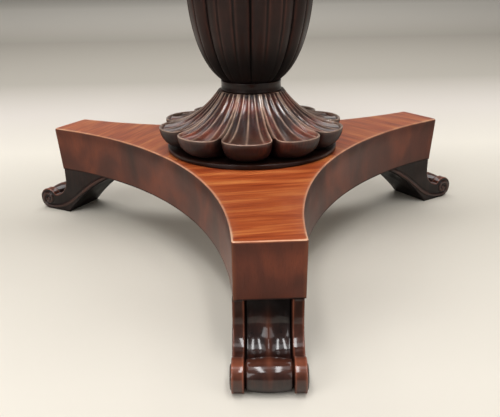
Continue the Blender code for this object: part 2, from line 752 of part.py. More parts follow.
def screw_mesh(grow, length):
    """Return a countersunk wood screw that points up from the origin, or the hole for it."""
    head = SCREW_HEAD_RADIUS + grow
    shank = SCREW_SHANK_RADIUS + grow
    tip = length + grow
    profile = [(0.0, tip), (shank, tip - SCREW_POINT), (shank, SCREW_HEAD_HEIGHT), (head, 0.0)]
    if grow:
        profile.append((head, -grow))
    return turned("wood_screw", profile + [(0.0, profile[-1][1])], SCREW_STEPS)


def build_top():
    """Make the bearer block, the two bearers and the moulded top, and screw them together."""
    reach = BLOCK_SIZE / 2
    square = [(-reach, -reach), (reach, -reach), (reach, reach), (-reach, reach)]
    block = add_piece("bearer_block", slab("bearer_block", square, BLOCK_BOTTOM, BLOCK_TOP), PINE)
    bevel = block.modifiers.new("eased_edges", "BEVEL")
    bevel.width = BLOCK_CHAMFER
    bevel.segments = 1
    bevel.limit_method = "ANGLE"
    socket = [(0.0, TOP_BOTTOM), (UPPER_BORE, TOP_BOTTOM)]
    socket += [(UPPER_BORE, CAPITAL_BOTTOM), (0.0, CAPITAL_BOTTOM)]
    combine(block, add_cutter("block_socket", turned("block_socket", socket, BORE_STEPS)))

    bearer_bottom = BLOCK_TOP - BEARER_HEIGHT
    half = BEARER_LENGTH / 2
    side = [(-half, BLOCK_TOP), (-half, bearer_bottom + BEARER_CHAMFER)]
    side += [(-half + BEARER_CHAMFER, bearer_bottom), (half - BEARER_CHAMFER, bearer_bottom)]
    side += [(half, bearer_bottom + BEARER_CHAMFER), (half, BLOCK_TOP)]
    bearer = upright_slab("bearer", side, -BEARER_WIDTH / 2, BEARER_WIDTH / 2)
    bearer.transform(Matrix.Rotation(pi / 2, 4, "Z"))

    radius = TOP_RADIUS
    surface = TOP_BOTTOM + TOP_THICKNESS
    roll = (TOP_THICKNESS - TOP_EDGE_DROP) / 2
    edge = arc((radius - roll, TOP_BOTTOM + roll), roll, pi / 2, -pi / 2, ROUND_SEGMENTS)
    profile = [(0.0, surface), (radius - roll - TOP_EDGE_FILLET, surface)]
    profile.append((radius - roll - TOP_EDGE_FILLET, edge[0][1]))
    top_mesh = turned("table_top", profile + edge + [(0.0, TOP_BOTTOM)], TOP_STEPS)
    top = add_piece("table_top", top_mesh, TABLE_TOP)

    corner = reach - BLOCK_SCREW_INSET
    block_places = [(x, y, BLOCK_BOTTOM) for x in (-corner, corner) for y in (-corner, corner)]
    column = BEARER_SPACING / 2
    spread = (-BEARER_SCREW_SPACING, 0.0, BEARER_SCREW_SPACING)
    block_length = BLOCK_THICKNESS + GLUE_GAP + SCREW_BITE
    bearer_length = BEARER_HEIGHT + GLUE_GAP + SCREW_BITE
    block_holes = copies(screw_mesh(SCREW_CLEARANCE, block_length), block_places)
    block_cutter = add_cutter("block_screw_holes", block_holes)
    combine(block, block_cutter)
    combine(top, block_cutter)
    for index, place in enumerate(block_places, 1):
        add_piece(f"block_screw_{index}", copies(screw_mesh(0.0, block_length), [place]), IRON)
    for side_x, label in ((-column, "left"), (column, "right")):
        places = [(side_x, y, bearer_bottom) for y in spread]
        piece = add_piece("bearer_" + label, copies(bearer, [(side_x, 0.0, 0.0)]), PINE)
        holes = copies(screw_mesh(SCREW_CLEARANCE, bearer_length), places)
        cutter = add_cutter(f"bearer_{label}_screw_holes", holes)
        combine(piece, cutter)
        combine(top, cutter)
        for index, place in enumerate(places, 1):
            screw = copies(screw_mesh(0.0, bearer_length), [place])
            add_piece(f"bearer_{label}_screw_{index}", screw, IRON)


def main():
    """Build the table from its feet up."""
    wedges = end_wedges()
    build_platform(wedges)
    build_veneers(wedges)
    build_feet()
    build_collar()
    build_vase()
    build_column_turnings()
    build_top()


main()
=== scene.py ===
"""Looks of an occasional table: a lobed baluster on a petal collar, a platform and scroll feet.

Lengths are metres, +Z is up, and the origin lies on the floor under the middle of the top.
Pieces that repeat on the three arms are worked out on an arm along +X and turned into place.
"""

import logging
from dataclasses import dataclass, replace
from enum import Enum
from math import cos, pi, radians, sin, tau

import bmesh
import bpy
import numpy as np
from mathutils import Matrix, Vector


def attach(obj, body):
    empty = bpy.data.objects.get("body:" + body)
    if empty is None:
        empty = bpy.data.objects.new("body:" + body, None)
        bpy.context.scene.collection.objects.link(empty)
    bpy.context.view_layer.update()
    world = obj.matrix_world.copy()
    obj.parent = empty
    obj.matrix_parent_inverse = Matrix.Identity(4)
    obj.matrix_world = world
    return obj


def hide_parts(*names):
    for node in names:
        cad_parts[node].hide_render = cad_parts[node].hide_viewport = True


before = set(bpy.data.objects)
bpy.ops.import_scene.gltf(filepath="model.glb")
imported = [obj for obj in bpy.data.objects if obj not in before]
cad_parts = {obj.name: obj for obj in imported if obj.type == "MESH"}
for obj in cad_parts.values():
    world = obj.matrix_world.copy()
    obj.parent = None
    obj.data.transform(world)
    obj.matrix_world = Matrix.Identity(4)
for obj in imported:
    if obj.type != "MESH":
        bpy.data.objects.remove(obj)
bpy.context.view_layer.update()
BODY = "root"
MM = 0.001
WELD = 2e-6
SMOOTH_ANGLE = radians(50)
LEAF_STEP = 0.37
LOG = logging.getLogger("occasional_table")


class Arm(Enum):
    """The three arms of the platform, with the direction in which each one points."""

    FRONT = -90.0
    RIGHT = 30.0
    LEFT = 150.0

    @property
    def label(self) -> str:
        """The arm's name in lower case, as the CAD nodes spell it."""
        return self.name.lower()

    @property
    def angle(self) -> float:
        """The arm's direction in radians."""
        return radians(self.value)

    @property
    def leaf(self) -> float:
        """How far along the log this arm's timber was cut, so that no two arms show the same figure."""
        return LEAF_STEP * (1 + list(Arm).index(self))


class Lay(Enum):
    """Where a wood finish takes its grain from."""

    TIMBER = "timber"
    LEAF = "leaf"


# Grids and meshes


@dataclass
class Patch:
    """A grid of points on a surface, with the rubbing and painted highlight, the dirt and painted shade,
    and the leaf place of each point.

    Attributes:
        points: Rows by columns by three coordinates.
        wear: How far the polish is rubbed through, and how strongly a highlight is painted on, from 0 to 1.
        soil: How much old wax and dust has settled, and how much shade is painted on, from 0 to 1.
        leaf: Place along, across and through the sheet of timber, in metres.
        closed: Whether the last column joins the first.
    """

    points: np.ndarray
    wear: np.ndarray | float = 0.0
    soil: np.ndarray | float = 0.0
    leaf: np.ndarray | None = None
    closed: bool = False

    def quads(self, first: int) -> np.ndarray:
        """Give the corner numbers of the grid's faces.

        Args:
            first: Number of the grid's first point in the whole mesh.

        Returns:
            One row of four corner numbers for each face.
        """
        rows, columns = self.points.shape[:2]
        row, column = np.meshgrid(
            np.arange(rows - 1), np.arange(columns if self.closed else columns - 1), indexing="ij"
        )
        after = (column + 1) % columns
        low, high = row * columns, (row + 1) * columns
        corners = np.stack([low + column, low + after, high + after, high + column], axis=-1)
        return corners.reshape(-1, 4) + first

    def spread(self, values: np.ndarray | float) -> np.ndarray:
        """Stretch a value, a column of values or a grid of them over every point."""
        return np.broadcast_to(values, self.points.shape[:2]).ravel()


def skin(name: str, patches: list[Patch]) -> bpy.types.Mesh:
    """Join grids into one welded mesh whose faces point outwards.

    Args:
        name: Name of the mesh.
        patches: Grids that share their border points.

    Returns:
        The mesh, with the attributes wear (rubbing and painted highlight), soil (dirt and painted shade)
        and leaf on its points.
    """
    sizes = [patch.points.shape[0] * patch.points.shape[1] for patch in patches]
    starts = np.concatenate([[0], np.cumsum(sizes)[:-1]])
    points = np.concatenate([patch.points.reshape(-1, 3) for patch in patches])
    faces = np.concatenate([patch.quads(int(start)) for patch, start in zip(patches, starts)])
    leaf = np.concatenate(
        [(patch.points if patch.leaf is None else patch.leaf).reshape(-1, 3) for patch in patches]
    )
    mesh = bpy.data.meshes.new(name)
    mesh.vertices.add(len(points))
    mesh.vertices.foreach_set("co", points.astype(np.float32).ravel())
    mesh.loops.add(faces.size)
    mesh.loops.foreach_set("vertex_index", faces.astype(np.int32).ravel())
    mesh.polygons.add(len(faces))
    mesh.polygons.foreach_set("loop_start", np.arange(0, faces.size, 4, dtype=np.int32))
    mesh.update(calc_edges=True)
    for kind in ("wear", "soil"):
        values = np.concatenate([patch.spread(getattr(patch, kind)) for patch in patches])
        mesh.attributes.new(kind, "FLOAT", "POINT").data.foreach_set("value", values.astype(np.float32))
    layer = mesh.attributes.new("leaf", "FLOAT_VECTOR", "POINT")
    layer.data.foreach_set("vector", leaf.astype(np.float32).ravel())
    shape = bmesh.new()
    shape.from_mesh(mesh)
    bmesh.ops.remove_doubles(shape, verts=shape.verts, dist=WELD)
    bmesh.ops.recalc_face_normals(shape, faces=shape.faces)
    shape.to_mesh(mesh)
    shape.free()
    mesh.shade_smooth()
    mesh.set_sharp_from_angle(angle=SMOOTH_ANGLE)
    return mesh


def grid(*columns: np.ndarray | float) -> np.ndarray:
    """Put coordinates that broadcast together side by side on a last axis."""
    return np.stack(np.broadcast_arrays(*columns), axis=-1)


def bezier(start: tuple, leave: tuple, arrive: tuple, end: tuple, count: int) -> np.ndarray:
    """Give points of a curve that leaves one point and arrives at another along two handles.

    Each point is the four control points weighed by (1-t)^3, 3t(1-t)^2, 3t^2(1-t) and t^3.

    Args:
        start: First point.
        leave: Handle of the first point.
        arrive: Handle of the last point.
        end: Last point.
        count: Number of points.

    Returns:
        The points, one row each.
    """
    t = np.linspace(0.0, 1.0, count)[:, None]
    weights = np.hstack([(1 - t) ** 3, 3 * t * (1 - t) ** 2, 3 * t**2 * (1 - t), t**3])
    return weights @ np.array([start, leave, arrive, end])


def smooth_step(low: float, high: float, values: np.ndarray) -> np.ndarray:
    """Ease from 0 at a low value to 1 at a high one: 3t^2 - 2t^3 of the share t between them."""
    t = np.clip((values - low) / (high - low), 0.0, 1.0)
    return t * t * (3 - 2 * t)


def hump(values: np.ndarray, middle: float, width: float) -> np.ndarray:
    """Rise to 1 at a middle value and fall off to either side: exp(-((v - middle) / width)^2)."""
    return np.exp(-(((values - middle) / width) ** 2))


def swung(points: np.ndarray, angle: float) -> np.ndarray:
    """Turn points about the column's axis: x cos a - y sin a, x sin a + y cos a, z."""
    turn = np.array([[cos(angle), sin(angle), 0.0], [-sin(angle), cos(angle), 0.0], [0.0, 0.0, 1.0]])
    return points @ turn


def lathe(profile: np.ndarray, steps: int, wear: np.ndarray | float = 0.0) -> Patch:
    """Turn a profile about Z: each radius and height goes round as (r cos a, r sin a, z).

    Args:
        profile: Rows of radius and height; a radius of 0 closes on the axis.
        steps: Number of points round the turn.
        wear: Rubbing, and painted highlight, of each profile point.

    Returns:
        The closed grid.
    """
    angle = np.linspace(0.0, tau, steps, endpoint=False)
    radius, height = profile[:, :1], profile[:, 1:]
    points = grid(radius * np.cos(angle), radius * np.sin(angle), height)
    return Patch(points, np.atleast_1d(wear)[:, None], closed=True)


def capped(points: np.ndarray) -> np.ndarray:
    """Close a tube of rings by drawing its first and last ring in to their own middles.

    Args:
        points: Rings by points by three coordinates.

    Returns:
        The same with a ring more at each end, all of whose points are the mean of the ring beside it.
    """
    first, last = (np.broadcast_to(ring.mean(axis=1, keepdims=True), ring.shape)
                   for ring in (points[:1], points[-1:]))
    return np.concatenate([first, points, last])


def eased(radius: float, steps: int) -> tuple[np.ndarray, np.ndarray]:
    """Give an eased edge as a quarter round: r(1 - cos a) drawn in and r(1 - sin a) held back.

    Args:
        radius: Radius of the round.
        steps: Number of facets.

    Returns:
        How far each point is drawn in from the face, and how far it lies short of the edge.
    """
    angle = np.linspace(0.0, pi / 2, steps + 1)
    return radius * (1 - np.cos(angle)), radius * (1 - np.sin(angle))


def arris(radius: float, level: float, edge: float, steps: int) -> np.ndarray:
    """Give the upper arris of a turned piece, eased by a quarter round from its flat to its side.

    Args:
        radius: Radius of the side.
        level: Height of the flat.
        edge: Radius of the round.
        steps: Number of facets.

    Returns:
        Rows of radius and height.
    """
    drawn, short = eased(edge, steps)
    return grid(radius - drawn, level - short)[::-1]


# Finishes


def linear(code: str) -> tuple[float, float, float, float]:
    """Turn an sRGB hex colour into linear red, green, blue and alpha.

    Args:
        code: Six hex digits.

    Returns:
        The linear colour.
    """
    shares = [int(code[i:i + 2], 16) / 255 for i in (0, 2, 4)]
    red, green, blue = (s / 12.92 if s <= 0.04045 else ((s + 0.055) / 1.055) ** 2.4 for s in shares)
    return red, green, blue, 1.0


def add_node(tree: bpy.types.NodeTree, kind: str, settings: dict | None = None,
             inputs: dict | None = None) -> bpy.types.Node:
    """Add a node, set its properties and feed its sockets.

    Args:
        tree: Tree to add it to.
        kind: Type name of the node.
        settings: Properties; "stops" gives a colour ramp its places and colours.
        inputs: Values, or other nodes' outputs, for the sockets by name or number.

    Returns:
        The node.
    """
    node = tree.nodes.new(kind)
    for key, value in (settings or {}).items():
        if key == "stops":
            elements = node.color_ramp.elements
            while len(elements) < len(value):
                elements.new(1.0)
            for element, (place, colour) in zip(elements, value):
                element.position = place
                element.color = colour
        else:
            setattr(node, key, value)
    for key, value in (inputs or {}).items():
        if isinstance(value, bpy.types.NodeSocket):
            tree.links.new(value, node.inputs[key])
        else:
            node.inputs[key].default_value = value
    return node


def new_material(name: str) -> tuple[bpy.types.Material, bpy.types.NodeTree, bpy.types.Node]:
    """Start a node material.

    Args:
        name: Name of the material.

    Returns:
        The material, its tree and its Principled shader.
    """
    material = bpy.data.materials.new(name)
    material.use_nodes = True
    return material, material.node_tree, material.node_tree.nodes["Principled BSDF"]


def per_size(size: tuple[float, float, float]) -> tuple[float, float, float]:
    """Turn a pattern's real size in millimetres into the scale of its coordinates."""
    return 1 / (size[0] * MM), 1 / (size[1] * MM), 1 / (size[2] * MM)


@dataclass(frozen=True)
class Finish:
    """A surface that is made into a node material.

    Attributes:
        name: The material and how its surface was made.
        slot: Material slot of the record, not used.
    """

    name: str
    slot: str

    def material(self) -> bpy.types.Material:
        """Return the finish as a node material, made once."""
        return bpy.data.materials.get(self.name) or self._make()

    def _make(self) -> bpy.types.Material:
        """Build the nodes, in the way of each kind of finish."""
        raise NotImplementedError


# Size of the clouds in an old polish and of the patches of rubbing and painted highlight, in millimetres
CLOUD_SIZE = (24.0, 24.0, 24.0)
WEAR_AND_GLINT_PATCH_SIZE = (14.0, 14.0, 14.0)

# Part of each pattern's range over which pores open, dust and painted shade settle, rubbing and painted
# highlights show and the polish clouds
PORE_SPAN = (0.36, 0.46)
SOIL_AND_SHADE_SPAN = (0.25, 0.70)
WEAR_AND_GLINT_SPAN = (0.32, 0.66)
HAZE_SPAN = (0.20, 0.80)

# How far a pore darkens the wood and dents the polish, and the least share of dust and painted shade and of
# rubbing and painted highlight
PORE_SHADE = 0.18
PORE_BUMP = 0.35
LEAST_SOIL_AND_SHADE = 0.70
LEAST_WEAR_AND_GLINT = 0.55

# How far dust and painted shade, and clouds, change the roughness of a polish, and what shellac itself has
SOIL_AND_SHADE_DULLING = 0.45
CLOUD_DULLING = (-0.02, 0.03)
POLISH_IOR = 1.5
POLISH_ROUGHNESS = 0.10


@dataclass(frozen=True)
class WoodFinish(Finish):
    """Timber under an old polish: figure, streaks and pores, rubbed edges and soiled hollows, with
    highlights and shade painted in the same way.

    Attributes:
        tones: Hex colours from the darkest streak to the palest.
        rubbed_and_glint: Hex colour of the wood where the polish is rubbed through, and of painted
            highlights.
        grime_and_shade: Hex colour of old wax and dust in the hollows, and of painted shade.
        figure: Size of the broad figure along each axis, in millimetres.
        streak: Size of the fine streaks along each axis, in millimetres.
        pore: Size of the pores, drawn coarse enough to show, in millimetres.
        blend: Share of the streaks in the colour; the figure has the rest.
        contrast: Share of the pattern's range over which the tones run.
        roughness: Roughness of sound polish.
        coat: Weight of the polish's own gloss.
        lay: Whether the grain follows the timber or a leaf of veneer.
        rub_and_glint: How strongly the rubbing and painted highlights show.
        relief: Depth of the pores, in millimetres.
        specular: Level of the wood's own reflection under the polish.
    """

    tones: tuple[str, str, str]
    rubbed_and_glint: str
    grime_and_shade: str
    figure: tuple[float, float, float]
    streak: tuple[float, float, float]
    pore: tuple[float, float, float]
    blend: float = 0.45
    contrast: float = 0.32
    roughness: float = 0.3
    coat: float = 0.3
    lay: Lay = Lay.TIMBER
    rub_and_glint: float = 1.0
    relief: float = 0.05
    specular: float = 0.5

    def _make(self) -> bpy.types.Material:
        """Build the nodes: tones by figure and streak, then pores, dirt and painted shade, rubbed edges and
        painted highlights, and polish.

        Returns:
            The material.
        """
        material, tree, shader = new_material(self.name)
        if self.lay is Lay.LEAF:
            place = add_node(tree, "ShaderNodeAttribute", {"attribute_name": "leaf"}).outputs["Vector"]
        else:
            place = add_node(tree, "ShaderNodeTexCoord").outputs["Object"]
        sizes = ((self.figure, 2.0, 0.6), (self.streak, 4.0, 0.2), (self.pore, 1.0, 0.0),
                 (CLOUD_SIZE, 2.0, 0.3), (WEAR_AND_GLINT_PATCH_SIZE, 2.0, 0.5))
        patterns = []
        for size, detail, wander in sizes:
            mapped = add_node(tree, "ShaderNodeMapping", None, {"Vector": place, "Scale": per_size(size)})
            values = {"Vector": mapped.outputs[0], "Scale": 1.0, "Detail": detail, "Distortion": wander}
            patterns.append(add_node(tree, "ShaderNodeTexNoise", None, values).outputs[0])
        figure, streak, pore, cloud, wear_and_glint_patches = patterns
        both = add_node(tree, "ShaderNodeMix", {"data_type": "FLOAT"},
                        {0: self.blend, 2: figure, 3: streak}).outputs[0]
        half = self.contrast / 2
        stops = list(zip((0.5 - half, 0.5, 0.5 + half), (linear(tone) for tone in self.tones)))
        colour = add_node(tree, "ShaderNodeValToRGB", {"stops": stops}, {0: both}).outputs[0]
        clouding = [self.roughness + change for change in CLOUD_DULLING]
        ranges = (("SMOOTHSTEP", pore, *PORE_SPAN, 1.0, 0.0),
                  ("LINEAR", cloud, *SOIL_AND_SHADE_SPAN, LEAST_SOIL_AND_SHADE, 1.0),
                  ("LINEAR", wear_and_glint_patches, *WEAR_AND_GLINT_SPAN, LEAST_WEAR_AND_GLINT * self.rub_and_glint, self.rub_and_glint),
                  ("LINEAR", cloud, *HAZE_SPAN, *clouding))
        pits, patchy, ragged, haze = (
            add_node(tree, "ShaderNodeMapRange", {"interpolation_type": ease},
                     dict(enumerate(values))).outputs[0] for ease, *values in ranges)
        shade = add_node(tree, "ShaderNodeMath", {"operation": "MULTIPLY"},
                         {0: pits, 1: PORE_SHADE}).outputs[0]
        drawn = []
        # The soil attribute also carries painted shade, and the wear attribute painted highlights
        for name, strength in (("soil", patchy), ("wear", ragged)):
            amount = add_node(tree, "ShaderNodeAttribute", {"attribute_name": name}).outputs["Fac"]
            drawn.append(add_node(tree, "ShaderNodeMath", {"operation": "MULTIPLY", "use_clamp": True},
                                  {0: amount, 1: strength}).outputs[0])
        dust_and_shade, rub_and_glint = drawn
        for share, code in ((shade, self.tones[0]), (dust_and_shade, self.grime_and_shade), (rub_and_glint, self.rubbed_and_glint)):
            colour = add_node(tree, "ShaderNodeMix", {"data_type": "RGBA"},
                              {0: share, 6: colour, 7: linear(code)}).outputs[2]
        rough = add_node(tree, "ShaderNodeMath", {"operation": "MULTIPLY_ADD", "use_clamp": True},
                         {0: dust_and_shade, 1: SOIL_AND_SHADE_DULLING, 2: haze}).outputs[0]
        sunk = add_node(tree, "ShaderNodeMath", {"operation": "MULTIPLY_ADD"},
                        {0: pits, 1: -1.0, 2: streak}).outputs[0]
        bump = add_node(tree, "ShaderNodeBump", None,
                        {"Strength": PORE_BUMP, "Distance": self.relief * MM, "Height": sunk}).outputs[0]
        for socket, output in (("Base Color", colour), ("Roughness", rough), ("Normal", bump)):
            tree.links.new(output, shader.inputs[socket])
        shader.inputs["IOR"].default_value = POLISH_IOR
        shader.inputs["Specular IOR Level"].default_value = self.specular
        shader.inputs["Coat Roughness"].default_value = POLISH_ROUGHNESS
        if self.coat > 0.0:
            polish = add_node(tree, "ShaderNodeMath", {"operation": "MULTIPLY_ADD"},
                              {0: dust_and_shade, 1: -self.coat, 2: self.coat}).outputs[0]
            tree.links.new(polish, shader.inputs["Coat Weight"])
        return material


# Curl-figured mahogany veneer, scraped and French polished: broad pale bars lie across the arm
CURL_VENEER = WoodFinish(
    "curl_mahogany_veneer_french_polished", "figured_veneer", ("8A3519", "B9592C", "DA8548"),
    rubbed_and_glint="E6B896", grime_and_shade="3A1A0E", figure=(13.0, 120.0, 400.0), streak=(2.6, 45.0, 400.0),
    pore=(0.8, 9.0, 400.0), blend=0.40, contrast=0.34, roughness=0.30, coat=0.15, lay=Lay.LEAF, rub_and_glint=0.9)

# Straight-grained mahogany veneer laid upright on the edges, darkened by handling: a mottled red brown; its
# dark colour also paints a band of shade under the top's arris
EDGE_VENEER = WoodFinish(
    "crossbanded_mahogany_veneer_aged_polish", "edge_veneer", ("381B12", "4F2417", "70351F"),
    rubbed_and_glint="B87348", grime_and_shade="1A0E0A", figure=(42.0, 42.0, 55.0), streak=(2.5, 2.5, 40.0),
    pore=(0.9, 0.9, 7.0), blend=0.08, contrast=0.42, roughness=0.36, coat=0.08, lay=Lay.LEAF, rub_and_glint=0.6,
    specular=0.24)

# Carved mahogany under dark shellac: near black in the cuts, red brown where hands rub it; the dark colour
# also paints shade in the cuts and under the foot, and the red brown painted highlights on the arrises
CARVED = WoodFinish(
    "carved_mahogany_dark_shellac", "carved_mahogany", ("150A09", "25130F", "3B1C15"),
    rubbed_and_glint="9E583E", grime_and_shade="0B0605", figure=(30.0, 30.0, 70.0), streak=(2.2, 2.2, 30.0),
    pore=(0.9, 0.9, 6.0), blend=0.45, roughness=0.30, coat=1.0, rub_and_glint=0.9, relief=0.03, specular=0.10)

# The petals are waxed over the same shellac: their ribs and rims are rubbed to a pale grey brown, which
# also paints the highlights along them
PETALS = replace(CARVED, name="carved_mahogany_waxed_petals", rubbed_and_glint="AD917E",
                 tones=("1A0B08", "3C160F", "74301F"), blend=0.25, coat=0.75,
                 specular=0.20)

# The vase was stained twice and handled least: almost black, with a dull polish; its worn colour also
# paints highlights beside the grooves, and its dark colour paints shade in the valleys
VASE = WoodFinish(
    "lobed_mahogany_black_stained", "carved_mahogany", ("0D0706", "170C0A", "24120E"),
    rubbed_and_glint="563329", grime_and_shade="060403", figure=(26.0, 26.0, 90.0), streak=(2.2, 2.2, 40.0),
    pore=(0.9, 0.9, 8.0), blend=0.4, roughness=0.38, coat=0.08, rub_and_glint=0.7, relief=0.03, specular=0.15)

# Turned mahogany under the same dark shellac: smoother and blacker than the carving
TURNED = WoodFinish(
    "turned_mahogany_dark_shellac", "turned_mahogany", ("0D0706", "160C0A", "22120E"),
    rubbed_and_glint="6B3C2A", grime_and_shade="080504", figure=(40.0, 40.0, 30.0), streak=(3.0, 3.0, 12.0),
    pore=(0.9, 0.9, 5.0), blend=0.4, roughness=0.30, coat=0.18, rub_and_glint=0.7, relief=0.03, specular=0.10)

# Solid mahogany boards, planed and French polished: long straight streaks, pale rubbed rim
BOARD = WoodFinish(
    "solid_mahogany_boards_french_polished", "table_top_mahogany", ("4A1F0D", "6E321A", "8E4A28"),
    rubbed_and_glint="B87A4C", grime_and_shade="2A140B", figure=(420.0, 34.0, 60.0), streak=(120.0, 3.0, 20.0),
    pore=(9.0, 0.9, 9.0), blend=0.5, roughness=0.31, coat=0.2, rub_and_glint=0.8, specular=0.3)

# Sawn pine, never polished and browned with age: dull straw brown with darker summer rings
PINE = WoodFinish(
    "sawn_pine_bare", "pine", ("4E3B2A", "6E553D", "8A6E52"),
    rubbed_and_glint="9A7E60", grime_and_shade="3A2C20", figure=(300.0, 16.0, 40.0), streak=(80.0, 2.6, 8.0),
    pore=(7.0, 0.9, 4.0), blend=0.55, roughness=0.72, coat=0.0, rub_and_glint=0.5, relief=0.2)

# Riven beech, bare: pinkish straw with short flecks
BEECH = WoodFinish(
    "riven_beech_bare", "beech", ("A57C50", "C39A68", "D6B283"),
    rubbed_and_glint="DCC094", grime_and_shade="6B5136", figure=(20.0, 20.0, 90.0), streak=(2.0, 2.0, 25.0),
    pore=(1.0, 1.0, 3.0), blend=0.5, roughness=0.68, coat=0.0, rub_and_glint=0.5, relief=0.15)


@dataclass(frozen=True)
class IronFinish(Finish):
    """Filed iron that has browned: dull grey metal with rust in clouds.

    Attributes:
        bright: Hex colour of the filed metal.
        rust: Hex colour of the brown skin.
        rust_size: Size of the clouds of rust, in millimetres.
        rust_span: Part of the clouds' range over which the rust sets in.
        marks: Size of the file marks along each axis, in millimetres.
        metallic: How metallic the bright metal and the rust are.
        roughness: How rough the bright metal and the rust are.
        relief: Depth of the file marks, in millimetres.
        filing: How strongly the file marks show.
    """

    name: str = "filed_iron_browned"
    slot: str = "iron"
    bright: str = "8B857E"
    rust: str = "4A3324"
    rust_size: float = 3.0
    rust_span: tuple[float, float] = (0.4, 0.6)
    marks: tuple[float, float, float] = (0.4, 6.0, 6.0)
    metallic: tuple[float, float] = (1.0, 0.2)
    roughness: tuple[float, float] = (0.38, 0.8)
    relief: float = 0.1
    filing: float = 0.4

    def _make(self) -> bpy.types.Material:
        """Build the nodes: clouds of rust over metal with file marks.

        Returns:
            The material.
        """
        material, tree, shader = new_material(self.name)
        place = add_node(tree, "ShaderNodeTexCoord").outputs["Object"]
        cloud = add_node(tree, "ShaderNodeTexNoise", None,
                         {"Vector": place, "Scale": 1 / (self.rust_size * MM), "Detail": 4.0}).outputs[0]
        rusted = add_node(tree, "ShaderNodeMapRange", None,
                          {0: cloud, 1: self.rust_span[0], 2: self.rust_span[1]}).outputs[0]
        colour = add_node(tree, "ShaderNodeMix", {"data_type": "RGBA"},
                          {0: rusted, 6: linear(self.bright), 7: linear(self.rust)}).outputs[2]
        metal, rough = (
            add_node(tree, "ShaderNodeMapRange", None, {0: rusted, 3: bare, 4: browned}).outputs[0]
            for bare, browned in (self.metallic, self.roughness))
        marks = add_node(tree, "ShaderNodeMapping", None,
                         {"Vector": place, "Scale": per_size(self.marks)}).outputs[0]
        filed = add_node(tree, "ShaderNodeTexNoise", None, {"Vector": marks, "Scale": 1.0}).outputs[0]
        bump = add_node(tree, "ShaderNodeBump", None,
                        {"Strength": self.filing, "Distance": self.relief * MM, "Height": filed}).outputs[0]
        for socket, output in (("Base Color", colour), ("Metallic", metal), ("Roughness", rough),
                               ("Normal", bump)):
            tree.links.new(output, shader.inputs[socket])
        return material


# Filed iron, browned with age: dull grey with soft brown clouds and fine file marks
IRON = IronFinish()


def set_piece(name: str, patches: list[Patch], finish: Finish, *nodes: str) -> bpy.types.Object:
    """Make a finished piece that stands for CAD nodes and rides with the table.

    Args:
        name: Name of the piece.
        patches: Its grids.
        finish: Its finish.
        nodes: CAD nodes that it stands for.

    Returns:
        The piece.
    """
    mesh = skin(name, patches)
    mesh.materials.append(finish.material())
    piece = bpy.data.objects.new(name, mesh)
    bpy.context.scene.collection.objects.link(piece)
    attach(piece, BODY)
    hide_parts(*nodes)
    LOG.info("%s: %d points for %s", name, len(mesh.vertices), ", ".join(nodes))
    return piece


def dress_node(finish: Finish, *nodes: str) -> None:
    """Give CAD nodes that keep their own shape a finish.

    Args:
        finish: The finish.
        nodes: The CAD nodes.
    """
    for name in nodes:
        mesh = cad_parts[name].data
        mesh.materials.clear()
        mesh.materials.append(finish.material())
        LOG.info("%s: %s", name, finish.name)


# Sub-assemblies


